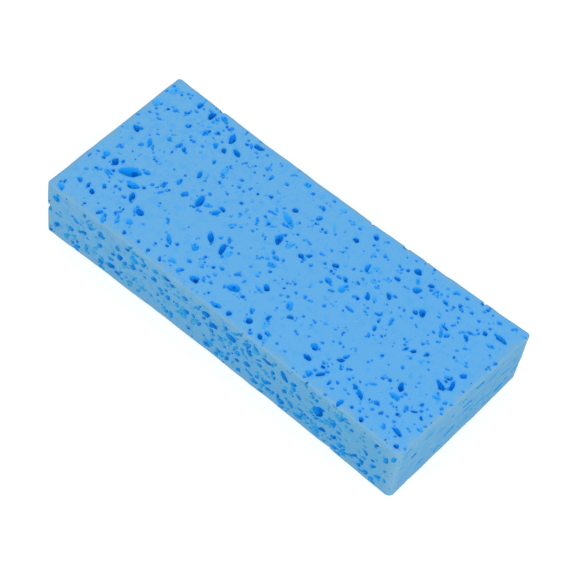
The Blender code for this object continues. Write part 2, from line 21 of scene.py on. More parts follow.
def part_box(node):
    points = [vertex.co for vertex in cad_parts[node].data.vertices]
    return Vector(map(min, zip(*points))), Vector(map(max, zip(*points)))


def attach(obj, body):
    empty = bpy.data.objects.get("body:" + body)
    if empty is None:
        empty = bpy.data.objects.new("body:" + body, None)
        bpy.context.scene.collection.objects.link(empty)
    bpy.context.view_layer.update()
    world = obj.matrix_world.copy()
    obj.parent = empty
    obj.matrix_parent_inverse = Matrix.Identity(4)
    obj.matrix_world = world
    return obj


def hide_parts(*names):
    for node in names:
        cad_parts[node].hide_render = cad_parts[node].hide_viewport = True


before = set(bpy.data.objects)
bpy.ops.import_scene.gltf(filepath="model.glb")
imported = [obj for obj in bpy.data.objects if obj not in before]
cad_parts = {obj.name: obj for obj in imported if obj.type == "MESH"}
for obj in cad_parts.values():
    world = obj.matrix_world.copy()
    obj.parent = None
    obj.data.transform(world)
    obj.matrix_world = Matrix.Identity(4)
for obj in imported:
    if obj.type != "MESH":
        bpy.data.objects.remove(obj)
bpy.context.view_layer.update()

LOG = logging.getLogger("bath_sponge")
MM = 0.001
# Stands in for a length of zero that something is divided by, in metres.
TINY = 1e-9

Colour = tuple[float, float, float, float]
Range = tuple[float, float]
WHITE: Colour = (1.0, 1.0, 1.0, 1.0)
CellRow = tuple[float, float, float, float, float]


def linear(hex_colour: str) -> Colour:
    """Turns an sRGB hex colour into the linear colour that shaders take.

    Args:
        hex_colour: Six hex digits after a hash mark.

    Returns:
        Red, green, blue and alpha, from 0 to 1.
    """
    channels = [int(hex_colour[i : i + 2], 16) / 255 for i in (1, 3, 5)]
    made = [c / 12.92 if c <= 0.04045 else ((c + 0.055) / 1.055) ** 2.4 for c in channels]
    return (made[0], made[1], made[2], 1.0)


def add_node(
    tree: bpy.types.NodeTree,
    kind: str,
    settings: dict[str, Any] | None = None,
    inputs: dict[str | int, Any] | None = None,
) -> bpy.types.Node:
    """Adds a node with its settings and inputs.

    Args:
        tree: The node tree to add to.
        kind: The node's Blender type.
        settings: The node's own properties by name.
        inputs: A value, or another node's output socket to link, by the input's name or number.

    Returns:
        The new node.
    """
    node = tree.nodes.new(kind)
    for name, value in (settings or {}).items():
        setattr(node, name, value)
    for name, value in (inputs or {}).items():
        if isinstance(value, bpy.types.NodeSocket):
            tree.links.new(value, node.inputs[name])
        else:
            node.inputs[name].default_value = value
    return node


def new_material(name: str) -> bpy.types.Material:
    """Makes a material without any nodes.

    Args:
        name: The material's name.

    Returns:
        The new material.
    """
    made = bpy.data.materials.new(name)
    made.use_nodes = True
    made.node_tree.nodes.clear()
    return made


class Depth(Enum):
    """How an opened cell lies in the skin.

    The value holds the cell's half height as a share of half its breadth, and how far its middle lies
    below the skin as a share of its half height. A middle above the skin leaves only a dish.
    """

    POOL = (0.80, -0.76)
    DISH = (1.00, -0.38)
    BOWL = (1.15, -0.05)
    PIT = (1.35, 0.15)
    WELL = (1.60, 0.32)

    @property
    def half_height(self) -> float:
        """The cell's half height as a share of half its breadth."""
        return self.value[0]

    @property
    def middle_below(self) -> float:
        """How far the cell's middle lies below the skin, as a share of its half height."""
        return self.value[1]


CellTable = dict[Depth, tuple[CellRow, ...]]

# The open cells that stand out, face by face: place from the sheet's left front corner, length and
# breadth of the opening, all in millimetres, and the turn of its long side in degrees.
TOP_SHEET = (180.0, 76.5)
TOP_CELLS: CellTable = {
    Depth.WELL: (
        (16.3, 71.6, 3.0, 2.0, 95), (23.2, 71.0, 3.6, 2.7, 100), (43.0, 63.9, 3.7, 2.2, -15),
        (38.5, 61.2, 2.5, 1.8, -50), (47.3, 72.6, 4.2, 2.0, 8), (6.3, 44.5, 3.4, 2.3, -32),
        (58.0, 38.4, 3.0, 1.6, -15), (12.0, 26.2, 3.4, 2.5, -45), (14.8, 22.4, 1.6, 1.2, 0),
        (28.9, 18.1, 4.0, 2.1, -58), (16.0, 8.9, 2.6, 2.0, -20), (12.8, 10.3, 2.6, 1.3, -68),
        (54.9, 10.0, 1.5, 1.3, 0), (87.8, 62.4, 2.8, 1.5, 66), (78.3, 58.9, 2.4, 2.1, 20),
        (83.4, 42.9, 4.8, 2.5, -68), (94.5, 43.0, 2.4, 2.0, -20), (96.7, 45.5, 2.6, 1.6, 40),
        (107.0, 49.3, 2.8, 1.9, 8), (104.5, 64.7, 2.4, 2.1, 0), (109.2, 71.4, 2.7, 1.8, -45),
        (91.3, 28.8, 1.5, 1.2, 60), (64.1, 25.0, 4.6, 2.1, -46), (71.1, 23.8, 5.0, 2.3, -66),
        (95.3, 22.1, 3.2, 2.0, -25), (110.8, 18.1, 2.6, 1.6, 35), (105.1, 12.2, 2.4, 1.6, 82),
        (74.4, 15.0, 1.6, 1.2, 50), (93.3, 3.0, 2.4, 2.0, 80), (101.0, 5.8, 2.8, 2.4, -30),
        (108.6, 3.3, 2.5, 1.7, -30), (81.4, 4.6, 1.4, 0.9, -60), (62.7, 54.3, 1.3, 1.1, 0),
        (100.2, 26.6, 1.3, 1.0, 60), (131.2, 69.8, 3.2, 2.4, -12), (139.0, 68.0, 2.3, 1.8, 24),
        (127.7, 61.4, 2.6, 1.7, -8), (144.7, 55.3, 3.6, 2.2, -60), (142.6, 53.8, 2.6, 1.7, -28),
        (130.7, 52.5, 3.2, 1.6, -42), (125.1, 46.5, 3.8, 1.5, -50), (123.0, 43.0, 1.8, 1.4, -30),
        (155.0, 56.0, 3.0, 1.2, -8), (163.5, 58.1, 2.6, 1.6, -30), (167.4, 64.5, 2.2, 1.6, -15),
        (173.1, 66.5, 5.0, 2.1, -8), (158.2, 41.5, 2.1, 1.6, -80), (153.7, 39.1, 2.1, 1.5, 62),
        (170.8, 34.3, 5.2, 1.8, -24), (173.8, 37.1, 4.0, 1.7, -68), (160.8, 23.3, 3.8, 2.1, -56),
        (137.2, 16.7, 3.0, 1.6, 38), (127.6, 8.8, 3.4, 2.1, -8), (136.1, 6.4, 3.4, 1.8, 56),
        (134.5, 9.6, 1.9, 1.5, 0), (152.3, 9.9, 4.6, 1.6, -36), (172.5, 7.3, 4.2, 1.9, -8),
        (159.8, 2.0, 2.2, 1.7, -30), (176.3, 2.4, 2.2, 1.7, 0), (171.3, 18.3, 2.6, 1.1, 26),
        (174.8, 18.0, 1.8, 1.2, -45), (158.3, 75.9, 3.0, 1.6, 75),
    ),
    Depth.PIT: (
        (37.0, 68.2, 4.4, 2.7, -60), (27.0, 50.1, 2.8, 1.6, -50), (40.1, 45.0, 3.4, 1.8, -68),
        (49.2, 35.1, 5.3, 2.9, -75), (57.3, 35.3, 3.4, 2.1, 60), (36.2, 14.6, 3.8, 2.6, -20),
        (17.5, 14.3, 2.1, 1.5, -45), (25.2, 3.5, 3.0, 1.6, 60), (38.8, 3.2, 2.0, 1.3, -40),
        (4.8, 5.3, 2.1, 1.2, -70), (39.7, 54.0, 2.1, 1.4, -60), (43.0, 70.3, 1.7, 1.4, 0),
        (57.2, 13.3, 1.7, 1.4, 0), (85.6, 67.5, 2.6, 1.4, -48), (77.8, 70.4, 1.7, 1.4, 20),
        (116.3, 57.3, 3.8, 1.7, -75), (114.1, 46.6, 2.9, 1.6, -50), (113.5, 38.7, 2.6, 1.3, 12),
        (73.3, 5.6, 3.6, 3.0, 10), (147.7, 65.6, 3.0, 1.5, -20), (152.8, 68.3, 1.7, 1.5, 0),
        (136.4, 62.6, 3.4, 2.8, 25), (133.4, 43.0, 3.0, 1.5, 25), (136.6, 36.8, 2.6, 1.5, -62),
        (124.1, 37.0, 3.8, 1.4, -3), (151.0, 38.0, 2.0, 1.3, 80), (174.0, 43.5, 2.8, 2.1, 40),
        (171.1, 39.1, 2.6, 1.8, 50), (171.3, 22.7, 1.9, 1.5, 70), (163.0, 9.4, 2.0, 1.5, 80),
        (148.8, 11.5, 2.7, 1.6, -20), (159.0, 11.7, 2.4, 1.6, 0), (149.4, 2.0, 3.2, 1.8, 82),
        (146.7, 29.2, 1.7, 1.2, 60), (140.8, 5.8, 2.5, 1.2, -75), (155.9, 22.8, 1.7, 1.5, 0),
        (163.0, 60.8, 2.1, 1.4, 0), (20.9, 27.6, 2.6, 1.8, 30), (116.4, 44.5, 1.6, 1.2, 20),
        (88.0, 34.9, 1.6, 1.2, 0), (160.9, 22.3, 1.6, 1.2, 0), (24.5, 76.3, 2.8, 1.8, 0),
        (103.5, 76.2, 2.2, 1.5, -15), (120.5, 76.0, 3.0, 1.9, 10), (140.0, 76.4, 1.6, 1.0, 5),
    ),
    Depth.BOWL: (
        (10.9, 62.6, 2.4, 1.7, 75), (20.0, 60.4, 2.5, 2.2, 40), (34.5, 60.7, 3.4, 1.6, -50),
        (31.1, 66.2, 2.0, 1.7, 0), (44.8, 70.9, 3.0, 1.2, -48), (15.0, 43.0, 4.5, 1.7, -55),
        (13.0, 39.6, 2.0, 1.7, 0), (36.9, 36.7, 3.2, 1.8, -70), (42.5, 33.5, 3.0, 2.3, 80),
        (24.6, 31.0, 3.0, 2.0, 10), (33.6, 31.2, 3.0, 1.6, -60), (19.9, 26.6, 7.8, 4.8, 32),
        (25.2, 22.3, 5.2, 2.8, 12), (8.7, 10.0, 2.9, 1.7, -40), (53.3, 12.9, 5.0, 1.8, -40),
        (17.3, 68.2, 1.8, 1.4, 0), (21.3, 72.7, 1.6, 1.2, 0), (37.5, 66.0, 1.4, 1.2, 0),
        (48.3, 70.0, 1.9, 1.1, 0), (46.3, 51.8, 1.8, 1.5, 0), (19.5, 49.5, 1.8, 1.5, 0),
        (7.0, 56.0, 1.5, 1.3, 0), (9.0, 54.6, 2.2, 1.2, 0), (4.0, 54.5, 1.6, 1.3, 0),
        (43.5, 44.3, 1.6, 1.3, 0), (26.8, 15.7, 1.8, 1.6, 0), (33.8, 16.0, 1.6, 1.4, 0),
        (25.2, 6.3, 1.5, 1.0, 0), (31.0, 56.8, 1.7, 1.4, 0), (53.7, 55.0, 2.0, 1.2, 0),
        (55.3, 51.5, 1.6, 1.3, 0), (57.8, 51.2, 1.4, 1.1, 0), (12.3, 63.0, 1.1, 0.9, 0),
        (9.0, 63.2, 1.3, 1.1, 0), (61.0, 64.6, 2.8, 1.4, 88), (67.2, 57.2, 2.0, 1.8, 20),
        (67.3, 66.6, 2.0, 1.5, 0), (80.6, 50.2, 3.2, 1.3, 4), (75.2, 46.2, 2.4, 1.6, -38),
        (111.5, 45.8, 2.6, 1.3, -5), (109.7, 41.5, 3.2, 2.2, -20), (88.5, 35.4, 3.2, 1.4, -8),
        (70.0, 29.1, 3.2, 1.4, -46), (94.0, 19.6, 4.2, 1.3, -10), (86.6, 13.1, 4.6, 3.4, 20),
        (77.2, 16.8, 2.2, 1.6, -20), (83.2, 19.0, 2.4, 1.8, 50), (66.3, 5.0, 3.2, 1.7, 56),
        (87.6, 2.4, 3.6, 2.0, 15), (98.6, 9.9, 3.0, 1.5, -45), (93.0, 50.3, 1.6, 1.3, 0),
        (99.3, 49.7, 1.8, 1.5, 0), (107.8, 47.7, 1.6, 1.1, 0), (102.0, 70.2, 1.6, 1.3, 0),
        (113.5, 67.0, 1.5, 1.2, 0), (108.0, 39.0, 1.6, 1.3, 0), (66.8, 27.5, 1.8, 1.5, 0),
        (73.0, 27.0, 1.6, 1.3, 0), (87.3, 18.5, 1.8, 1.1, -75), (109.7, 6.3, 2.4, 1.8, 0),
        (119.5, 5.0, 1.6, 1.3, 0), (104.3, 59.0, 1.4, 1.2, 0), (65.0, 35.0, 1.8, 1.2, 80),
        (68.8, 37.1, 1.5, 1.3, 0), (73.3, 38.8, 1.5, 1.2, -30), (101.7, 31.3, 1.6, 1.2, 0),
        (108.5, 29.5, 1.6, 1.4, 0), (103.9, 24.7, 1.4, 1.2, -60), (114.1, 21.9, 1.4, 1.2, 0),
        (115.5, 54.4, 1.3, 1.1, 0), (118.3, 51.9, 1.4, 1.1, 0), (66.0, 10.6, 2.0, 1.6, 0),
        (76.3, 10.4, 1.6, 1.1, 0), (78.7, 8.7, 1.8, 1.2, 0), (83.7, 11.1, 1.8, 1.1, -60),
        (77.4, 12.7, 1.6, 1.1, 20), (137.0, 32.8, 2.4, 1.2, -52), (155.6, 52.9, 4.4, 1.4, -58),
        (157.8, 53.7, 2.6, 1.9, 70), (160.9, 59.1, 3.2, 1.1, 40), (156.5, 59.2, 2.2, 1.2, 60),
        (168.2, 72.3, 2.4, 1.6, 5), (139.0, 43.7, 3.8, 1.4, -72), (161.8, 18.6, 4.4, 2.0, 8),
        (137.6, 19.3, 2.6, 1.8, 80), (126.3, 14.3, 3.2, 2.6, -22), (132.6, 3.9, 2.8, 2.3, 20),
        (152.5, 17.1, 3.2, 1.3, 30), (152.5, 72.8, 1.8, 1.5, 0), (132.5, 54.0, 2.0, 1.2, 0),
        (138.3, 34.0, 1.1, 0.9, 0), (136.5, 31.7, 1.1, 0.9, 0), (172.3, 30.8, 1.2, 1.0, 0),
        (159.5, 8.3, 1.6, 1.4, 0), (133.3, 6.6, 1.7, 1.5, 0), (168.0, 17.8, 1.8, 1.5, 0),
        (124.3, 66.9, 1.6, 1.2, 0), (146.5, 68.5, 1.3, 1.1, 0), (139.7, 61.0, 1.4, 1.2, 0),
        (150.2, 58.4, 1.6, 1.2, 0), (143.3, 50.7, 1.5, 1.2, 0), (136.9, 51.1, 1.2, 0.9, 0),
        (139.0, 51.4, 1.5, 1.1, -30), (157.4, 49.1, 2.0, 1.2, 40), (164.9, 51.0, 1.6, 1.2, 0),
        (128.5, 42.3, 1.4, 1.1, 0), (129.0, 40.4, 1.6, 1.2, 0), (130.5, 39.8, 1.1, 0.9, 0),
        (149.5, 39.0, 1.3, 1.1, 0), (154.7, 36.1, 1.6, 1.3, 0), (160.6, 39.3, 1.4, 1.1, 0),
        (178.2, 38.0, 1.4, 1.1, 0), (176.8, 29.3, 1.8, 1.4, 80), (178.9, 30.3, 1.3, 1.1, 0),
        (144.9, 23.4, 1.4, 1.1, 80), (131.9, 22.4, 1.6, 1.2, -30), (133.9, 22.0, 1.3, 1.0, -50),
        (129.6, 21.1, 1.1, 0.9, 0), (127.1, 17.8, 1.7, 1.3, 0), (121.6, 16.4, 1.4, 0.9, 40),
        (162.9, 15.4, 1.6, 1.2, 80), (178.2, 16.3, 1.5, 1.1, 10), (178.8, 24.8, 1.2, 1.2, 0),
        (176.8, 21.3, 1.4, 1.2, 0), (164.0, 22.1, 1.8, 1.4, 0), (163.7, 20.4, 1.6, 1.1, 0),
        (165.5, 10.0, 1.4, 1.3, 0), (168.8, 10.0, 1.6, 1.2, 0), (174.4, 11.1, 1.3, 1.1, 0),
        (160.3, 4.4, 1.3, 1.0, 0), (145.0, 12.3, 1.4, 1.3, 0), (146.8, 7.9, 1.6, 1.1, -10),
        (149.0, 7.3, 1.4, 1.1, 0), (127.0, 1.5, 1.2, 1.2, 0), (132.4, 1.5, 1.6, 1.3, 0),
        (143.2, 1.0, 1.4, 1.2, 0), (161.0, 72.5, 1.6, 1.2, 40), (157.9, 68.6, 1.7, 1.4, 0),
        (162.2, 67.5, 1.5, 1.4, 0), (167.4, 67.5, 1.4, 1.3, 0), (155.9, 63.3, 1.5, 1.3, 0),
        (164.3, 63.9, 1.2, 1.1, 0), (178.9, 56.2, 1.6, 1.3, 0), (177.9, 53.3, 1.4, 1.0, 80),
        (178.0, 51.7, 1.1, 1.0, 0),
    ),
    Depth.DISH: (
        (28.0, 73.4, 3.6, 2.1, -20), (26.0, 71.0, 2.0, 1.5, 0), (42.5, 47.0, 4.6, 1.2, -62),
        (52.4, 35.6, 2.8, 2.0, 20), (7.7, 46.0, 2.0, 1.6, 0), (13.1, 20.6, 3.2, 2.4, -40),
        (36.5, 8.3, 3.4, 2.4, -20), (32.6, 5.5, 3.2, 1.8, -65), (5.4, 2.3, 4.4, 2.1, -28),
        (6.6, 27.0, 3.2, 2.6, -60), (28.7, 2.0, 4.6, 2.0, -58), (17.5, 42.0, 3.0, 1.0, -45),
        (73.6, 72.4, 2.8, 2.2, -40), (79.7, 53.0, 6.6, 2.6, -20), (73.5, 51.5, 3.0, 1.4, 5),
        (73.0, 53.9, 2.4, 1.4, -40), (96.3, 42.6, 2.2, 1.4, 0), (116.1, 42.0, 3.4, 2.8, 80),
        (89.5, 31.8, 3.2, 2.6, 20), (107.1, 22.1, 4.4, 2.5, -55), (62.8, 17.1, 3.6, 2.8, -50),
        (61.2, 6.3, 3.4, 2.2, -12), (134.0, 66.3, 4.0, 1.8, -55), (127.9, 47.1, 3.6, 1.3, -52),
        (147.9, 72.6, 2.8, 1.9, 0), (172.4, 61.3, 3.4, 1.7, 5), (172.9, 29.0, 3.0, 1.7, 12),
        (167.6, 5.3, 2.4, 1.7, -10), (71.5, 43.4, 3.0, 1.6, -70), (85.9, 36.6, 2.4, 1.4, -50),
    ),
    Depth.POOL: (
        (4.0, 70.0, 5.5, 3.8, 80), (2.7, 59.8, 4.0, 3.4, 60), (45.8, 53.3, 6.2, 2.8, -72),
        (88.1, 44.0, 3.8, 2.2, 72), (74.2, 23.9, 4.2, 2.6, 80), (106.5, 8.5, 4.0, 2.0, -70),
        (111.0, 3.0, 4.0, 1.6, -65), (91.8, 72.4, 3.0, 2.0, 30), (98.3, 70.2, 2.6, 1.8, 0),
        (66.3, 71.9, 2.2, 1.4, 80), (88.5, 24.3, 3.6, 2.2, -20), (71.0, 12.2, 2.4, 1.6, 0),
        (94.6, 63.6, 4.0, 1.3, -50), (132.5, 61.0, 2.8, 2.4, 0), (125.9, 65.0, 3.0, 2.2, 20),
        (122.0, 54.0, 2.6, 2.0, 0), (126.0, 58.2, 2.6, 1.8, 0), (142.5, 65.7, 2.4, 1.3, 0),
        (168.0, 42.0, 2.4, 1.8, 0), (158.5, 38.0, 2.6, 1.8, 60), (170.6, 48.2, 2.6, 1.8, 0),
        (167.3, 54.8, 2.2, 1.8, 30), (133.5, 14.6, 2.0, 1.8, 0), (177.5, 14.0, 2.0, 1.8, 0),
        (159.8, 29.6, 2.0, 1.6, -50), (136.9, 24.4, 2.0, 1.8, -40), (178.5, 73.5, 3.0, 2.0, 0),
    ),
}

FRONT_SHEET = (180.0, 30.5)
FRONT_CELLS: CellTable = {
    Depth.WELL: (
        (29.2, 5.2, 2.8, 2.3, 80), (34.8, 7.9, 4.6, 2.4, 30), (38.2, 22.3, 2.8, 1.8, 60),
        (39.5, 17.6, 3.4, 2.5, 68), (63.9, 26.9, 3.0, 2.0, 10), (66.8, 25.4, 2.5, 1.9, 62),
        (84.4, 23.8, 4.0, 2.9, 42), (88.6, 20.1, 3.4, 2.6, 12), (97.7, 21.3, 5.0, 3.7, 20),
        (106.9, 21.0, 3.8, 2.5, -68), (110.0, 26.6, 3.4, 2.0, -75), (115.8, 23.9, 4.6, 2.0, 2),
        (124.3, 23.1, 5.2, 2.7, -58), (132.2, 17.5, 2.7, 1.8, -50), (101.2, 9.8, 2.5, 1.8, 52),
        (96.9, 9.8, 2.2, 1.1, 55), (98.8, 12.0, 1.5, 0.8, 55), (117.4, 6.6, 2.7, 2.0, 42),
        (128.9, 8.5, 3.5, 2.2, -68), (142.1, 18.1, 6.6, 4.4, 66), (144.8, 8.7, 3.8, 1.9, 36),
        (150.2, 9.4, 2.6, 2.0, 50), (164.6, 8.6, 3.2, 1.8, -75),
    ),
    Depth.PIT: (
        (5.4, 24.5, 4.0, 2.6, 40), (13.4, 12.3, 3.2, 1.9, 42), (28.7, 23.2, 2.4, 1.6, 42),
        (35.8, 16.3, 2.2, 1.6, 40), (46.3, 17.4, 3.6, 2.2, 30), (73.5, 23.4, 3.0, 1.9, 5),
        (81.5, 14.2, 3.2, 1.3, 65), (94.6, 24.7, 3.0, 2.0, 72), (124.0, 5.2, 3.8, 2.8, 40),
        (132.8, 4.7, 4.8, 2.3, 22), (125.3, 14.1, 3.2, 1.8, 60), (106.2, 12.2, 3.2, 2.6, 45),
        (172.7, 7.3, 3.2, 2.1, 50), (165.8, 16.3, 2.8, 1.7, -60), (169.3, 14.9, 2.0, 1.4, 30),
        (91.9, 6.2, 2.6, 1.8, 60), (141.2, 19.3, 2.4, 2.0, 60), (87.6, 15.8, 2.6, 2.0, 60),
        (1.0, 15.6, 4.2, 2.6, 60),
    ),
    Depth.BOWL: (
        (5.5, 8.2, 4.6, 2.3, 52), (16.5, 3.5, 4.0, 2.1, 45), (16.2, 19.4, 2.8, 2.2, 38),
        (20.1, 15.7, 3.2, 2.0, 32), (20.4, 27.2, 2.6, 1.6, 62), (23.7, 21.8, 2.6, 1.8, 40),
        (34.7, 12.2, 3.2, 1.6, 30), (52.2, 24.6, 3.6, 1.5, 55), (76.0, 5.8, 2.5, 1.7, 70),
        (78.3, 16.6, 2.2, 1.8, 60), (85.6, 4.4, 3.8, 2.3, 32), (103.3, 19.3, 2.2, 1.6, 60),
        (112.3, 18.1, 3.0, 1.9, 30), (108.2, 7.8, 3.0, 1.8, -20), (67.0, 5.5, 4.2, 1.6, 72),
        (118.8, 19.6, 3.0, 1.8, 72), (129.4, 19.7, 3.4, 1.8, 60), (116.9, 10.9, 3.6, 1.9, 40),
        (133.7, 10.3, 2.8, 1.8, 10), (153.7, 7.5, 3.2, 1.9, 32), (151.3, 3.8, 3.2, 2.4, 20),
        (152.4, 18.3, 3.4, 1.2, -38), (165.4, 12.4, 2.6, 1.4, 20), (159.6, 7.1, 2.6, 1.5, -70),
        (174.9, 21.1, 3.2, 2.0, 70), (177.8, 25.1, 3.6, 1.8, 76), (14.0, 21.0, 1.8, 1.0, 50),
        (19.5, 21.9, 1.6, 1.0, 0), (22.6, 23.4, 1.6, 1.4, 0), (18.0, 14.7, 2.0, 1.5, 45),
        (22.2, 14.0, 1.4, 1.1, 0), (21.4, 5.3, 2.0, 1.8, 0), (46.9, 19.0, 1.4, 1.1, 0),
        (43.7, 15.0, 1.8, 1.2, 0), (47.1, 10.6, 1.6, 1.2, 50), (43.0, 7.9, 1.8, 1.0, 50),
        (40.6, 4.6, 1.6, 1.2, 0), (49.6, 5.0, 2.4, 1.4, 45), (52.8, 17.1, 1.8, 1.4, 0),
        (79.2, 23.1, 1.8, 1.1, 60), (101.7, 27.7, 2.4, 1.6, 30), (84.9, 17.8, 1.8, 1.5, 0),
        (88.8, 14.1, 2.6, 1.0, 40), (70.1, 11.1, 1.6, 1.2, 60), (93.8, 13.8, 1.4, 1.1, 0),
        (105.6, 16.4, 1.6, 1.4, 0), (115.9, 16.8, 1.8, 1.4, 0), (84.1, 9.3, 1.5, 1.2, 0),
        (85.2, 7.5, 1.4, 1.1, 0), (58.2, 19.8, 1.5, 1.2, 50), (64.1, 19.5, 2.1, 1.2, 50),
        (56.4, 8.5, 1.5, 1.2, 0), (128.5, 17.0, 1.8, 1.4, 0), (132.5, 17.1, 2.0, 1.4, 0),
        (138.3, 20.6, 1.8, 1.4, 0), (145.9, 16.2, 2.0, 1.8, 0), (148.0, 14.5, 1.4, 1.1, 0),
        (141.7, 9.5, 1.2, 1.0, 0), (153.4, 12.0, 1.8, 1.4, 0), (156.3, 14.2, 1.4, 1.1, 0),
        (170.9, 17.2, 1.4, 0.9, 60), (162.7, 13.8, 1.8, 1.2, -30), (176.1, 8.2, 2.0, 1.2, -80),
        (171.1, 2.0, 2.4, 1.6, 0), (169.4, 24.5, 1.4, 1.2, 0), (163.8, 22.6, 1.3, 1.1, 0),
        (163.3, 24.9, 1.2, 1.0, 0), (135.0, 27.8, 1.8, 1.2, 40), (138.9, 27.3, 1.5, 1.2, 0),
        (146.3, 26.5, 1.4, 1.2, 0), (154.6, 27.1, 1.8, 1.4, 0), (175.2, 13.9, 2.0, 1.0, 60),
        (108.9, 4.3, 1.3, 1.0, 0), (99.3, 6.4, 1.6, 1.2, 60), (66.4, 6.7, 2.6, 1.2, 70),
    ),
    Depth.DISH: (
        (10.9, 5.7, 4.6, 1.8, 50), (21.4, 7.4, 5.0, 1.8, 74), (46.8, 22.6, 5.0, 3.4, 50),
        (114.1, 6.3, 2.6, 1.8, 40), (134.3, 28.4, 2.4, 1.4, 30), (85.0, 4.9, 3.0, 2.2, 0),
        (6.3, 27.1, 2.0, 1.0, 0), (5.8, 15.5, 1.6, 1.0, 60), (11.2, 12.7, 1.6, 1.2, 0),
    ),
    Depth.POOL: (
        (44.6, 5.3, 4.4, 2.6, 80), (72.6, 11.9, 5.4, 4.6, 30), (150.0, 25.7, 2.6, 1.8, 40),
        (59.9, 13.3, 3.0, 1.8, 50), (26.7, 11.7, 3.0, 1.6, 50), (160.4, 18.3, 2.6, 1.8, 50),
    ),
}

# The near end was cut along the brick's width, and its cells are drawn out that way.
END_SHEET = (76.5, 30.5)
END_CELLS: CellTable = {
    Depth.BOWL: (
        (10.5, 18.8, 3.6, 1.6, -10), (33.0, 10.5, 5.4, 2.2, 20), (64.0, 6.5, 5.2, 2.0, 10),
    ),
    Depth.DISH: (
        (6.0, 26.5, 4.4, 1.5, 12), (19.0, 23.5, 5.2, 1.4, 6), (41.0, 20.5, 5.0, 1.4, -6),
        (47.0, 27.2, 4.6, 2.2, 0), (56.0, 24.0, 6.0, 1.7, 8), (66.0, 16.0, 4.8, 1.5, -8),
    ),
    Depth.POOL: (
        (27.0, 5.0, 4.6, 1.8, 4), (72.5, 10.5, 4.2, 1.6, 12), (50.0, 12.0, 5.0, 1.8, 6),
        (16.0, 8.0, 4.4, 1.6, 0), (4.5, 24.0, 3.0, 1.6, 10), (38.0, 26.0, 4.0, 1.2, 0),
    ),
}


@dataclass(frozen=True)
class OpenCell:
    """An opened cell in the brick's frame.

    Attributes:
        middle: The point of the skin that it opens around, in metres.
        axes: Its long side, its breadth and the way out of the foam, as the columns of a matrix.
        long: The length of its opening, in metres.
        short: The breadth of its opening, in metres.
        depth: How it lies in the skin.
        slant: How far its floor shifts along each side of the opening, as shares of its depth.
    """

    middle: np.ndarray
    axes: np.ndarray
    long: float
    short: float
    depth: Depth
    slant: tuple[float, float]

    @property
    def half_sizes(self) -> np.ndarray:
        """Half its length, breadth and height as a whole ball, before the knife cut it."""
        at_skin = math.sqrt(1 - self.depth.middle_below**2)
        half_height = self.depth.half_height * self.short / 2
        return np.array([self.long / 2 / at_skin, self.short / 2 / at_skin, half_height])

    @property
    def centre(self) -> np.ndarray:
        """The ball's centre."""
        return self.middle - self.axes[:, 2] * self.depth.middle_below * self.half_sizes[2]

    @property
    def radius(self) -> float:
        """The radius of a sphere about its centre that holds all of it."""
        lean = 1 + max(abs(self.slant[0]), abs(self.slant[1]))
        return float(self.half_sizes.max()) * CellCutter.REACH * lean


@dataclass(frozen=True)
class Side:
    """One flat side of the brick before it bowed and leaned.

    Attributes:
        corner: The corner that its sheet starts from, in metres.
        along: The sheet's first direction.
        across: Its second direction, a quarter turn left of the first as seen from outside.
        size: The side's size along both, in metres.
        turn: The usual turn of its cells' long side from the first direction, in degrees.
        stray: How far that turn strays, in degrees.
    """

    corner: Vector
    along: Vector
    across: Vector
    size: tuple[float, float]
    turn: float
    stray: float

    @property
    def outward(self) -> Vector:
        """The way out of the foam."""
        return self.along.cross(self.across)


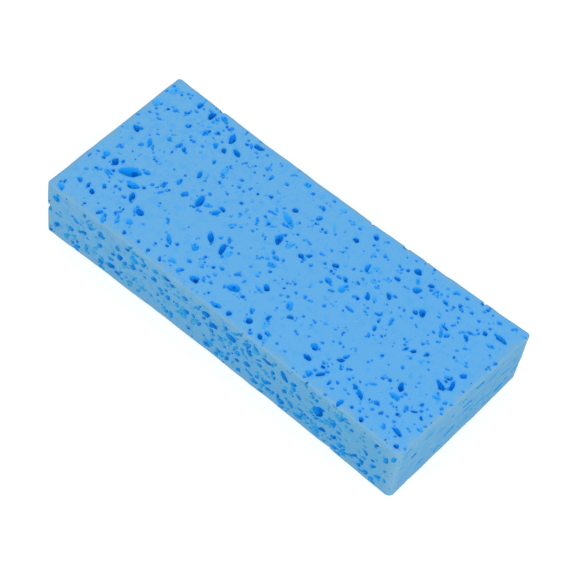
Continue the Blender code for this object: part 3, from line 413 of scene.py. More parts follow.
@dataclass(frozen=True)
class BrickForm:
    """The form of the brick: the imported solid's, but for its sharper upright edges.

    Attributes:
        length: Along X, in metres.
        width: Along Y.
        thickness: Along Z.
        foot_waist: How far the front draws in along its foot, at the middle of its length.
        top_waist: How far it draws in along its top edge.
        back_waist: How far the back draws in.
        lean: How far the top lies beyond the resting face, towards +X and +Y.
        flare: How far the near end's back top corner stands out along X.
        edge_round: The radius of the edges around the top and the resting face.
        corner_round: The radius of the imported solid's upright edges.
        corner_shares: Each upright edge's radius here as a share of that, after the photograph: the
            far end's front and back one, then the near end's.
    """

    length: float
    width: float
    thickness: float
    foot_waist: float = 1.5 * MM
    top_waist: float = 0.5 * MM
    back_waist: float = 1.5 * MM
    lean: tuple[float, float] = (1.0 * MM, 0.5 * MM)
    flare: float = 1.6 * MM
    edge_round: float = 1.0 * MM
    corner_round: float = 3.0 * MM
    corner_shares: tuple[tuple[float, float], ...] = ((0.5, 0.6), (0.8, 0.5))

    @classmethod
    def of_node(cls, node: str) -> "BrickForm":
        """Reads the brick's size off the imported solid.

        Args:
            node: The solid's name.

        Returns:
            The form whose box, with its lean and flare, is the solid's.
        """
        low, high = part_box(node)
        # The round corners take a little off the box's length and width.
        off_length, off_width = 0.14 * MM, 0.22 * MM
        lean_x, lean_y = cls.lean
        return cls(
            length=high.x - low.x - lean_x - cls.flare + off_length,
            width=high.y - low.y - lean_y + off_width,
            thickness=high.z - low.z,
        )

    def cornered(self, points: np.ndarray, drawn_in: np.ndarray | float = 0.0) -> np.ndarray:
        """Rounds the upright edges of the square brick.

        Args:
            points: Rows of X, Y and Z on or in the square brick.
            drawn_in: How far each point also moves in from the nearest side.

        Returns:
            Where those points lie once the brick's plan has round corners.
        """
        half = np.array([self.length, self.width]) / 2
        flat = np.abs(points[:, :2])
        inset = half - flat
        kept = inset.min(axis=1) + drawn_in
        moved = flat.copy()
        nearest = inset.argmin(axis=1)
        rows = np.arange(len(points))
        moved[rows, nearest] = half[nearest] - kept
        beyond = (points[:, :2] > 0).astype(int)
        shares = np.array(self.corner_shares)[beyond[:, 0], beyond[:, 1]]
        radius = self.corner_round * shares[:, None]
        reach = flat - (half - radius)
        in_corner = (reach > 0).all(axis=1)
        away = reach / np.maximum(np.linalg.norm(reach, axis=1, keepdims=True), TINY)
        turned = half - radius + away * (radius - kept[:, None])
        moved[in_corner] = turned[in_corner]
        return np.column_stack([np.copysign(moved, points[:, :2]), points[:, 2]])

    def relaxed(self, points: np.ndarray) -> np.ndarray:
        """Bows and leans points of the square brick.

        Args:
            points: Rows of X, Y and Z.

        Returns:
            Where those points lie on the finished brick.
        """
        along, across = points[:, 0] / self.length, points[:, 1] / self.width
        height = points[:, 2] / self.thickness
        front_waist = self.foot_waist + (self.top_waist - self.foot_waist) * height
        waist = np.where(across > 0, self.back_waist, front_waist)
        bow = waist * (1 - (2 * along) ** 2)
        moved = points.copy()
        moved[:, 0] += self.lean[0] * (height - 0.5)
        moved[:, 0] += self.flare * (along + 0.5) * (across + 0.5) * height
        moved[:, 1] = points[:, 1] * (1 - bow / (self.width / 2)) + self.lean[1] * (height - 0.5)
        return moved

    def squared(self, points: np.ndarray) -> np.ndarray:
        """Undoes what relaxed did, by closing in on the answer far below a thousandth of a millimetre.

        Args:
            points: Rows of X, Y and Z on the finished brick.

        Returns:
            Where those points lie on the square brick.
        """
        rounds = 4
        found = points.copy()
        for _ in range(rounds):
            found += points - self.relaxed(found)
        return found

    def sides(self) -> dict[str, Side]:
        """Lists the brick's six sides.

        Returns:
            The sides by name.
        """
        x, y, z = self.length / 2, self.width / 2, self.thickness
        right, back, up = Vector((1, 0, 0)), Vector((0, 1, 0)), Vector((0, 0, 1))
        broad, long_side, end = (2 * x, 2 * y), (2 * x, z), (2 * y, z)
        return {
            "top": Side(Vector((-x, -y, z)), right, back, broad, -45, 60),
            "front": Side(Vector((-x, -y, 0)), right, up, long_side, 50, 30),
            "near_end": Side(Vector((x, -y, 0)), back, up, end, 4, 12),
            "resting": Side(Vector((-x, y, 0)), right, -back, broad, 45, 60),
            "back": Side(Vector((x, y, 0)), -right, up, long_side, -50, 30),
            "far_end": Side(Vector((-x, y, 0)), -back, up, end, -4, 12),
        }


@dataclass(frozen=True)
class Scatter:
    """Cells that chance spreads over a side.

    Attributes:
        count: How many there are.
        shortest: The length of the shortest, in millimetres.
        longest: The length of the longest.
        skew: How strongly small ones outnumber large ones, from 1 for evenly.
        depths: The share of each depth.
        crowding: The share that crowds together towards the near end. The others lie evenly.
        slim: The least and the most breadth of one, as shares of its length.
        company: The share that lies against the one before, so that their outlines run together.
        crowded_at: How far along the side the crowd is densest, as a share of its length.
    """

    count: int
    shortest: float
    longest: float
    skew: float
    depths: dict[Depth, float]
    crowding: float = 0.0
    slim: Range = (0.6, 1.0)
    company: float = 0.35
    crowded_at: float = 0.8


MIXED = {Depth.POOL: 3, Depth.DISH: 4, Depth.BOWL: 5, Depth.PIT: 2, Depth.WELL: 1}
SHALLOW = {Depth.POOL: 4, Depth.DISH: 5, Depth.BOWL: 2}
LENS = (0.42, 0.72)
STREAK = (0.28, 0.52)


@dataclass
class CellField:
    """All the cells that the knife opened.

    Attributes:
        form: The brick that they lie in.
        seed: Where its chance numbers start.
        slant: How far a cell's floor may shift sideways, as a share of its depth.
        swell: How much larger a chosen cell is cut than its row says, because its soft rim looks
            narrower than it is.
        roomy: A cell at least this long has smaller ones in its wall, in metres.
        ragged: A cell at least this long has neighbours that break its outline.
        clearance: How far a scattered cell's middle keeps from that of another, as a share of the
            other's length and breadth together.
        border: How far it keeps from its sheet's borders, as a share of its length.
        apart: How far it lies from the one before when they touch, as shares of both lengths together.
        pocket_breadth: The breadth of a pocket in a shallow cell, in millimetres.
        pocket_share: The breadth of one in a deep cell, as a share of that cell's breadth.
        pocket_spread: How near to the rim a pocket may lie, from 0 for the middle to 1.
        pocket_stretch: A pocket's length as a share of its breadth.
        neighbour_share: A neighbour's breadth as a share of the cell's.
        neighbour_stretch: Its length as a share of its breadth.
        neighbour_place: Where it lies, as shares of the way from the cell's middle to its rim.
        widest_neighbour: The breadth that such a neighbour never passes.
        chosen: Each visible side's cells, as read off the photograph, and the size of their sheet in
            millimetres.
        scattered: Each side's cells that chance spreads.
    """

    form: BrickForm
    seed: int = 11
    slant: float = 0.28
    swell: float = 1.12
    roomy: float = 2.2 * MM
    ragged: float = 1.7 * MM
    clearance: float = 0.3
    border: float = 0.55
    apart: Range = (0.3, 0.5)
    pocket_breadth: Range = (0.6, 1.0)
    pocket_share: Range = (0.3, 0.55)
    pocket_spread: float = 0.8
    pocket_stretch: float = 1.25
    neighbour_share: Range = (0.45, 0.8)
    neighbour_stretch: Range = (1.0, 1.5)
    neighbour_place: Range = (0.85, 1.2)
    widest_neighbour: float = 1.5 * MM
    chosen: dict[str, tuple[CellTable, tuple[float, float]]] = field(
        default_factory=lambda: {
            "top": (TOP_CELLS, TOP_SHEET),
            "front": (FRONT_CELLS, FRONT_SHEET),
            "near_end": (END_CELLS, END_SHEET),
        }
    )
    scattered: dict[str, tuple[Scatter, ...]] = field(
        default_factory=lambda: {
            "top": (
                Scatter(720, 1.0, 2.0, 1.4, MIXED),
                Scatter(260, 0.8, 1.1, 1.0, SHALLOW),
            ),
            "front": (
                Scatter(430, 1.3, 4.0, 1.4, MIXED, 0.8, LENS),
                Scatter(110, 0.8, 1.2, 1.0, SHALLOW, 0.5),
            ),
            "near_end": (
                Scatter(34, 1.6, 4.4, 1.5, SHALLOW, 0.0, STREAK, 0.15),
                Scatter(40, 0.8, 1.6, 1.2, SHALLOW, 0.0, LENS, 0.0),
            ),
            "resting": (
                Scatter(60, 2.0, 6.0, 2.2, MIXED),
                Scatter(80, 1.2, 2.2, 1.5, MIXED),
            ),
            "back": (
                Scatter(245, 1.4, 4.0, 1.6, MIXED, 0.0, LENS),
                Scatter(90, 0.9, 1.6, 1.2, SHALLOW),
            ),
            "far_end": (
                Scatter(34, 1.6, 4.4, 1.5, SHALLOW, 0.0, STREAK, 0.15),
                Scatter(30, 0.8, 1.6, 1.2, SHALLOW, 0.0, LENS, 0.0),
            ),
        }
    )

    def cells(self) -> list[OpenCell]:
        """Places every cell.

        Returns:
            The chosen cells, their neighbours, the scattered ones and last the pockets.
        """
        chance = np.random.default_rng(self.seed)
        sides = self.form.sides()
        made: list[OpenCell] = []
        for name, side in sides.items():
            made += self._chosen_on(name, side, chance)
        made += [near for cell in made for near in self._neighbours_of(cell, chance)]
        pockets = [pocket for cell in made for pocket in self._pockets_in(cell, chance)]
        for name, side in sides.items():
            made += self._scattered_on(name, side, made, chance)
        return made + pockets

    def _chosen_on(self, name: str, side: Side, chance: np.random.Generator) -> list[OpenCell]:
        """Places a side's chosen cells.

        Args:
            name: The side's name.
            side: The side.
            chance: The chance numbers.

        Returns:
            The cells in the order of their table, or none for a side without a table.
        """
        if name not in self.chosen:
            return []
        table, sheet = self.chosen[name]
        made = []
        for depth, rows in table.items():
            for x, y, long, short, turn in rows:
                place = (x / sheet[0] * side.size[0], y / sheet[1] * side.size[1])
                grown = (long * self.swell, short * self.swell)
                made.append(self._cell(side, place, *grown, turn, depth, chance))
        return made

    def _scattered_on(
        self, name: str, side: Side, before: Sequence[OpenCell], chance: np.random.Generator
    ) -> list[OpenCell]:
        """Places a side's scattered cells, none of which starts inside one that is there before.

        Args:
            name: The side's name.
            side: The side.
            before: The cells that are there before.
            chance: The chance numbers.

        Returns:
            The cells that found room.
        """
        centres = np.array([cell.middle for cell in before]).reshape(-1, 3)
        clear = np.array([self.clearance * (cell.long + cell.short) for cell in before])
        made = []
        last = (0.0, 0.0, 0.0)
        for scatter in self.scattered[name]:
            depths = list(scatter.depths)
            odds = np.array([scatter.depths[depth] for depth in depths], float)
            for _ in range(scatter.count):
                share = chance.random() ** scatter.skew
                long = scatter.shortest + (scatter.longest - scatter.shortest) * share
                short = long * chance.uniform(*scatter.slim)
                place = self._chance_place(scatter, side, long, chance)
                if made and chance.random() < scatter.company:
                    place = self._beside(last, long, chance)
                last = (*place, long)
                turn = side.turn + chance.normal(0, side.stray / 2)
                depth = depths[chance.choice(len(depths), p=odds / odds.sum())]
                cell = self._cell(side, place, long, short, turn, depth, chance)
                if len(centres) and (np.linalg.norm(centres - cell.middle, axis=1) < clear).any():
                    continue
                made.append(cell)
        return made

    def _chance_place(
        self, scatter: Scatter, side: Side, long: float, chance: np.random.Generator
    ) -> tuple[float, float]:
        """Finds a place on a side's sheet, clear of the sheet's borders.

        Args:
            scatter: The cells that the place is one of.
            side: The side.
            long: The length of the cell's opening, in millimetres.
            chance: The chance numbers.

        Returns:
            The place along and across the sheet, in metres.
        """
        along = chance.random()
        if chance.random() < scatter.crowding:
            along = chance.triangular(0.0, scatter.crowded_at, 1.0)
        border = self.border * long * MM
        across = chance.random()
        return (
            border + along * (side.size[0] - 2 * border),
            border + across * (side.size[1] - 2 * border),
        )

    def _beside(
        self, last: tuple[float, float, float], long: float, chance: np.random.Generator
    ) -> tuple[float, float]:
        """Finds a place against the last cell.

        Args:
            last: The last cell's place on the sheet, in metres, and its length, in millimetres.
            long: The length of the new cell's opening, in millimetres.
            chance: The chance numbers.

        Returns:
            The place along and across the sheet, in metres.
        """
        heading = chance.uniform(0, 2 * math.pi)
        apart = chance.uniform(*self.apart) * (last[2] + long) * MM
        return last[0] + apart * math.cos(heading), last[1] + apart * math.sin(heading)

    def _pockets_in(self, cell: OpenCell, chance: np.random.Generator) -> list[OpenCell]:
        """Finds the smaller cells that a large one broke into: the dark windows in its wall.

        Args:
            cell: The large cell.
            chance: The chance numbers.

        Returns:
            No pocket for a small cell, and up to four for another.
        """
        if cell.long < self.roomy:
            return []
        shallow = cell.depth in (Depth.POOL, Depth.DISH)
        fewest, most = (0, 4) if shallow else (1, 3)
        sizes, unit = (self.pocket_breadth, MM) if shallow else (self.pocket_share, cell.short)
        made = []
        for _ in range(int(chance.integers(fewest, most + 1))):
            heading = chance.uniform(0, 2 * math.pi)
            room = 1 - cell.depth.middle_below**2
            spread = self.pocket_spread * math.sqrt(chance.random() * room)
            down = -math.sqrt(1 - spread**2)
            local = np.array([math.cos(heading) * spread, math.sin(heading) * spread, down])
            short = chance.uniform(*sizes) * unit
            long = short * self.pocket_stretch
            middle = cell.centre + cell.axes @ (local * cell.half_sizes)
            made.append(OpenCell(middle, cell.axes, long, short, Depth.BOWL, (0.0, 0.0)))
        return made

    def _neighbours_of(self, cell: OpenCell, chance: np.random.Generator) -> list[OpenCell]:
        """Finds the cells that share a broken wall with a large one, so that its outline is ragged.

        Args:
            cell: The large cell.
            chance: The chance numbers.

        Returns:
            No neighbour for a small cell, and up to two for another.
        """
        if cell.long < self.ragged:
            return []
        most = 2
        depths = (Depth.POOL, Depth.DISH, Depth.BOWL)
        made = []
        for _ in range(int(chance.integers(0, most + 1))):
            heading = chance.uniform(0, 2 * math.pi)
            rim = np.array([math.cos(heading) * cell.long / 2, math.sin(heading) * cell.short / 2, 0.0])
            short = min(cell.short * chance.uniform(*self.neighbour_share), self.widest_neighbour)
            long = short * chance.uniform(*self.neighbour_stretch)
            depth = depths[int(chance.integers(0, len(depths)))]
            middle = cell.middle + cell.axes @ (rim * chance.uniform(*self.neighbour_place))
            made.append(OpenCell(middle, cell.axes, long, short, depth, (0.0, 0.0)))
        return made

    def _cell(
        self,
        side: Side,
        place: tuple[float, float],
        long: float,
        short: float,
        turn: float,
        depth: Depth,
        chance: np.random.Generator,
    ) -> OpenCell:
        """Places one cell.

        Args:
            side: The side it opens on.
            place: Its place on the side's sheet, in metres.
            long: The length of its opening, in millimetres.
            short: The breadth of its opening, in millimetres.
            turn: The turn of its long side, in degrees.
            depth: How it lies in the skin.
            chance: The chance numbers.

        Returns:
            The cell.
        """
        flat = side.corner + side.along * place[0] + side.across * place[1]
        middle = self.form.relaxed(self.form.cornered(np.array([flat])))[0]
        turned = Matrix.Rotation(math.radians(turn), 3, side.outward)
        axes = np.array([turned @ side.along, turned @ side.across, side.outward]).T
        heading = chance.uniform(0, 2 * math.pi)
        amount = self.slant * math.sqrt(chance.random())
        slant = (amount * math.cos(heading), amount * math.sin(heading))
        return OpenCell(middle, axes, long * MM, short * MM, depth, slant)


@dataclass
class CellCutter:
    """Turns cells into closed bodies that a Boolean takes away, in groups that don't meet.

    Attributes:
        seed: Where its chance numbers start.
    """

    seed: int = 23

    # The farthest that a lobed outline strays from its ball.
    REACH = 1.32
    # How many lobes an outline has, and the most that they add to its radius.
    LOBES = ((2, 0.12), (3, 0.12), (4, 0.08), (5, 0.05))
    # The share of that which even the faintest lobes have, and how far lobes usually twist about
    # the ball from its middle to a pole, in radians.
    FAINTEST, TWIST = 0.2, 0.5
    # The length in millimetres from which a ball has so many columns and rows of faces, and how
    # many the shorter ones have.
    DIVISIONS = ((3.4, 13, 7), (2.2, 10, 5), (1.6, 8, 4), (1.15, 7, 4))
    FEWEST = (6, 3)

    def divisions(self, cell: OpenCell) -> tuple[int, int]:
        """Chooses how finely a cell's ball is divided, by its size.

        Args:
            cell: The cell.

        Returns:
            The ball's columns and rows of faces.
        """
        for shortest, columns, rows in self.DIVISIONS:
            if cell.long >= shortest * MM:
                return columns, rows
        return self.FEWEST

    def ball(self, cell: OpenCell, chance: np.random.Generator) -> tuple[np.ndarray, list[list[int]]]:
        """Models a cell as an uneven closed ball.

        Args:
            cell: The cell.
            chance: The chance numbers.

        Returns:
            The ball's points in the brick's frame, and its faces.
        """
        columns, rows = self.divisions(cell)
        around = np.linspace(0, 2 * math.pi, columns, endpoint=False) + chance.uniform(0, 1)
        down = np.linspace(0, math.pi, rows + 1)[1:-1]
        reach = np.ones((rows - 1, columns))
        for lobes, most in self.LOBES:
            start, twist = chance.uniform(0, 2 * math.pi), chance.normal(0, self.TWIST)
            amount = most * chance.uniform(self.FAINTEST, 1.0)
            reach += amount * np.cos(lobes * around[None, :] + start + twist * np.cos(down)[:, None])
        ring = np.sin(down)[:, None] * reach
        height = np.broadcast_to(np.cos(down)[:, None], ring.shape)
        rings = np.stack([ring * np.cos(around), ring * np.sin(around), height], axis=-1)
        points = np.vstack([rings.reshape(-1, 3), [[0, 0, 1], [0, 0, -1]]]) * cell.half_sizes
        points[:, 0] += cell.slant[0] * points[:, 2]
        points[:, 1] += cell.slant[1] * points[:, 2]
        return cell.centre + points @ cell.axes.T, self._ball_faces(columns, rows)

    @staticmethod
    def _ball_faces(columns: int, rows: int) -> list[list[int]]:
        """Lists a ball's faces: a fan at each pole and rings of four-sided faces between.

        Args:
            columns: How many faces lie around it.
            rows: How many lie from pole to pole.

        Returns:
            The faces as the numbers of their points, with the two poles last.
        """
        top, bottom = (rows - 1) * columns, (rows - 1) * columns + 1
        last = (rows - 2) * columns
        faces = []
        for i in range(columns):
            j = (i + 1) % columns
            faces.append([top, i, j])
            faces.append([bottom, last + j, last + i])
            for row in range(rows - 2):
                upper, lower = row * columns, (row + 1) * columns
                faces.append([upper + i, lower + i, lower + j, upper + j])
        return faces

    def groups(self, cells: Iterable[OpenCell]) -> list[list[OpenCell]]:
        """Sorts cells into groups within which none meets another.

        Args:
            cells: The cells, in any order.

        Returns:
            The groups, with the largest cells in the first.
        """
        made: list[list[OpenCell]] = []
        centres: list[np.ndarray] = []
        by_size = sorted(cells, key=lambda one: one.radius, reverse=True)
        for cell in by_size:
            row = np.array([*cell.centre, cell.radius])
            for group, held in zip(made, centres):
                near = held[: len(group)]
                if (np.linalg.norm(near[:, :3] - row[:3], axis=1) > near[:, 3] + row[3]).all():
                    held[len(group)] = row
                    group.append(cell)
                    break
            else:
                made.append([cell])
                centres.append(np.zeros((len(by_size), 4)))
                centres[-1][0] = row
        return made

    def cutters(self, cells: Sequence[OpenCell]) -> list[bpy.types.Object]:
        """Models every group of cells as one helper object.

        Args:
            cells: The cells.

        Returns:
            The objects, which hold only closed bodies that don't meet.
        """
        chance = np.random.default_rng(self.seed)
        made = []
        for number, group in enumerate(self.groups(cells)):
            points: list[np.ndarray] = []
            faces: list[list[int]] = []
            count = 0
            for cell in group:
                ball, ball_faces = self.ball(cell, chance)
                faces += [[count + corner for corner in face] for face in ball_faces]
                points.append(ball)
                count += len(ball)
            mesh = bpy.data.meshes.new(f"opened_cells_{number}")
            mesh.from_pydata(np.vstack(points).tolist(), [], faces)
            cutter = bpy.data.objects.new(mesh.name, mesh)
            bpy.context.scene.collection.objects.link(cutter)
            made.append(cutter)
        return made


class FoamPart(Enum):
    """The two surfaces of the cut foam, by their material's place on the mesh."""

    SKIN = 0
    WALL = 1


@dataclass
class SpongeBrick:
    """The brick of foam with its open cells.

    Attributes:
        form: The brick's form.
        pitch: The size of the faces that the uncut brick is divided into, in metres.
        undulation: How far its faces rise and fall where the foam relaxed, in metres.
        skin_depth: A point less than this below the uncut face lies on it, in metres.
        crease: The angle from which an edge between two faces stays sharp, in degrees.
    """

    form: BrickForm
    pitch: float = 3.8 * MM
    undulation: float = 0.30 * MM
    skin_depth: float = 0.004 * MM
    crease: float = 42.0

    # Where the faces are divided near an edge and near a corner, as shares of the form's radii.
    EDGE_STOPS = (0.0, 0.25, 0.6, 1.0)
    CORNER_STOPS = (0.46, 0.73, 1.0)
    # The waves of the relaxed faces: the length in millimetres, the share of the whole and the start.
    WAVES = ((41, 0.35, 0.4), (19, 0.30, 2.1), (11, 0.20, 4.0), (7, 0.15, 1.3))
    # The two ways that the waves run, and how many of the second go on one of the first.
    WAVE_WAYS = np.array([[1.0, 0.45, 0.8], [-0.4, 1.0, 0.9]])
    SECOND_WAVE = 0.8

    def build(self, cells: Sequence[OpenCell]) -> bpy.types.Object:
        """Models the brick and cuts the cells into it.

        Args:
            cells: The cells to open.

        Returns:
            The finished foam, with its attributes and its two surfaces told apart.
        """
        blank = self._blank()
        tree = BVHTree.FromPolygons(
            [v.co for v in blank.data.vertices], [p.vertices for p in blank.data.polygons]
        )
        cutters = CellCutter().cutters(cells)
        for cutter in cutters:
            cut = blank.modifiers.new(cutter.name, "BOOLEAN")
            cut.operation = "DIFFERENCE"
            cut.solver = "MANIFOLD"
            cut.object = cutter
        graph = bpy.context.evaluated_depsgraph_get()
        mesh = bpy.data.meshes.new_from_object(blank.evaluated_get(graph))
        for helper in [blank, *cutters]:
            bpy.data.objects.remove(helper)
        mesh.name = "sponge_foam"
        self._clear_crumbs(mesh)
        self._tell_apart(mesh, tree)
        foam = bpy.data.objects.new("sponge_foam", mesh)
        bpy.context.scene.collection.objects.link(foam)
        return foam

    def _stops(self, size: float, cornered: bool) -> np.ndarray:
        """Where the uncut brick is divided along one direction, from its middle.

        Args:
            size: The brick's size that way.
            cornered: Whether upright edges stand at both ends.

        Returns:
            Places from minus to plus half the size, closer together at the rounded edges.
        """
        near_edge = [share * self.form.edge_round for share in self.EDGE_STOPS]
        if cornered:
            near_edge += [share * self.form.corner_round for share in self.CORNER_STOPS]
        inner = size / 2 - near_edge[-1]
        count = max(2, round(2 * inner / self.pitch))
        low = np.array([-size / 2 + step for step in near_edge[:-1]])
        return np.concatenate([low, np.linspace(-inner, inner, count + 1), -low[::-1]])

    def _blank(self) -> bpy.types.Object:
        """Models the uncut brick: bowed, leaned, rounded along its edges and slightly uneven.

        Returns:
            The brick as one closed mesh of triangles.
        """
        form = self.form
        stops = [
            self._stops(form.length, cornered=True),
            self._stops(form.width, cornered=True),
            self._stops(form.thickness, cornered=False),
        ]
        shape = bmesh.new()
        corners: dict[tuple[int, int, int], bmesh.types.BMVert] = {}

        def corner(i: int, j: int, k: int) -> bmesh.types.BMVert:
            """Finds the vertex at a place of the grid, and makes it when it is first asked for.

            Args:
                i: The place's number along X.
                j: The place's number along Y.
                k: The place's number along Z.

            Returns:
                The vertex.
            """
            if (i, j, k) not in corners:
                place = (stops[0][i], stops[1][j], stops[2][k])
                corners[i, j, k] = shape.verts.new(place)
            return corners[i, j, k]

        lasts = [len(s) - 1 for s in stops]
        for axis in range(3):
            a, b = [other for other in range(3) if other != axis]
            for end in (0, lasts[axis]):
                for i in range(lasts[a]):
                    for j in range(lasts[b]):
                        ring = []
                        for di, dj in ((0, 0), (1, 0), (1, 1), (0, 1)):
                            index = [0, 0, 0]
                            index[axis], index[a], index[b] = end, i + di, j + dj
                            ring.append(corner(*index))
                        shape.faces.new(ring)
        bmesh.ops.recalc_face_normals(shape, faces=shape.faces)
        placed = self._rounded(np.array([vert.co for vert in shape.verts]))
        for vert, place in zip(shape.verts, placed.tolist()):
            vert.co = place
        bmesh.ops.triangulate(shape, faces=shape.faces)
        mesh = bpy.data.meshes.new("uncut_brick")
        shape.to_mesh(mesh)
        shape.free()
        blank = bpy.data.objects.new(mesh.name, mesh)
        bpy.context.scene.collection.objects.link(blank)
        return blank

    def _rounded(self, points: np.ndarray) -> np.ndarray:
        """Rounds the square brick's edges, makes its faces uneven, and bows and leans it.

        Args:
            points: Points on the square brick, whose middle is at the origin.

        Returns:
            Those points on the finished brick, which rests on the XY plane.
        """
        form, radius = self.form, self.form.edge_round
        half = np.array([form.length, form.width, form.thickness]) / 2
        inset = half - np.abs(points)
        ring = np.column_stack([inset[:, :2].min(axis=1), inset[:, 2]])
        inner = np.maximum(ring, radius)
        out = inner - ring
        reach = np.maximum(np.linalg.norm(out, axis=1, keepdims=True), TINY)
        rolled = np.where(out.max(axis=1, keepdims=True) > 0, inner - out / reach * radius, ring)
        sink = self.undulation * self._waves(points)
        outward = out / reach
        resting = points[:, 2] < -half[2] + radius
        rounded = form.cornered(points, rolled[:, 0] - ring[:, 0] + sink * outward[:, 0])
        drop = np.where(resting, 0.0, sink * outward[:, 1])
        rounded[:, 2] = np.copysign(half[2] - rolled[:, 1] - drop, points[:, 2]) + half[2]
        return form.relaxed(rounded)

    def _waves(self, points: np.ndarray) -> np.ndarray:
        """Works out how much points sink or rise where the foam relaxed.

        Args:
            points: Rows of X, Y and Z on the square brick.

        Returns:
            A share for each point, from 1 for sunk to -1 for raised.
        """
        wave = np.zeros(len(points))
        for length, share, start in self.WAVES:
            turn = 2 * math.pi / (length * MM)
            first = np.sin(points @ self.WAVE_WAYS[0] * turn + start)
            second = np.cos(points @ self.WAVE_WAYS[1] * turn * self.SECOND_WAVE + 2 * start)
            wave += share * first * second
        return wave

    @staticmethod
    def _clear_crumbs(mesh: bpy.types.Mesh) -> None:
        """Takes away the crumbs of foam that the cells cut loose.

        Args:
            mesh: The foam as the cutters left it.
        """
        shape = bmesh.new()
        shape.from_mesh(mesh)
        seen: set[bmesh.types.BMVert] = set()
        bodies: list[list[bmesh.types.BMVert]] = []
        for start in shape.verts:
            if start in seen:
                continue
            seen.add(start)
            body = [start]
            # The list grows while it is walked, until it holds all that hangs together.
            for vert in body:
                beside = [edge.other_vert(vert) for edge in vert.link_edges]
                fresh = [other for other in beside if other not in seen]
                seen.update(fresh)
                body += fresh
            bodies.append(body)
        bodies.sort(key=len)
        crumbs = [vert for body in bodies[:-1] for vert in body]
        bmesh.ops.delete(shape, geom=crumbs, context="VERTS")
        shape.to_mesh(mesh)
        shape.free()

    def _tell_apart(self, mesh: bpy.types.Mesh, uncut: BVHTree) -> None:
        """Gives each face its surface, and each point its depth and its distance from the faces.

        Args:
            mesh: The cut foam.
            uncut: The uncut brick's faces, to measure depth from.
        """
        points = np.empty(len(mesh.vertices) * 3, np.float32)
        mesh.vertices.foreach_get("co", points)
        points = points.reshape(-1, 3).astype(float)
        nearest = [uncut.find_nearest(point) for point in points.tolist()]
        depth = np.array([found[3] for found in nearest])
        upright = 1 - np.abs([found[1].z for found in nearest])
        square = self.form.squared(points)
        half = np.array([self.form.length, self.form.width]) / 2
        inset = np.column_stack(
            [
                half[0] - np.abs(square[:, 0]),
                half[1] - np.abs(square[:, 1]),
                np.minimum(square[:, 2], self.form.thickness - square[:, 2]),
            ]
        )
        starts = np.empty(len(mesh.polygons), np.int32)
        mesh.polygons.foreach_get("loop_start", starts)
        corners = np.empty(len(mesh.loops), np.int32)
        mesh.loops.foreach_get("vertex_index", corners)
        deepest = np.maximum.reduceat(depth[corners], starts)
        surface = np.where(deepest < self.skin_depth, FoamPart.SKIN.value, FoamPart.WALL.value)
        mesh.materials.clear()
        for _ in FoamPart:
            mesh.materials.append(None)
        mesh.polygons.foreach_set("material_index", surface.astype(np.int32))
        told = {
            "depth_mm": ("FLOAT", "value", depth / MM),
            "upright": ("FLOAT", "value", upright),
            "inset_mm": ("FLOAT_VECTOR", "vector", inset / MM),
        }
        for name, (kind, part, values) in told.items():
            mesh.attributes.new(name, kind, "POINT")
            mesh.attributes[name].data.foreach_set(part, values.astype(np.float32).ravel())
        self._shade(mesh)

    def _shade(self, mesh: bpy.types.Mesh) -> None:
        """Shades the foam smooth but for its creases and the rims of its cells.

        Args:
            mesh: The cut foam, with its two surfaces told apart.
        """
        mesh.shade_smooth()
        mesh.set_sharp_from_angle(angle=math.radians(self.crease))
        shape = bmesh.new()
        shape.from_mesh(mesh)
        for edge in shape.edges:
            if len({face.material_index for face in edge.link_faces}) > 1:
                edge.smooth = False
        shape.to_mesh(mesh)
        shape.free()


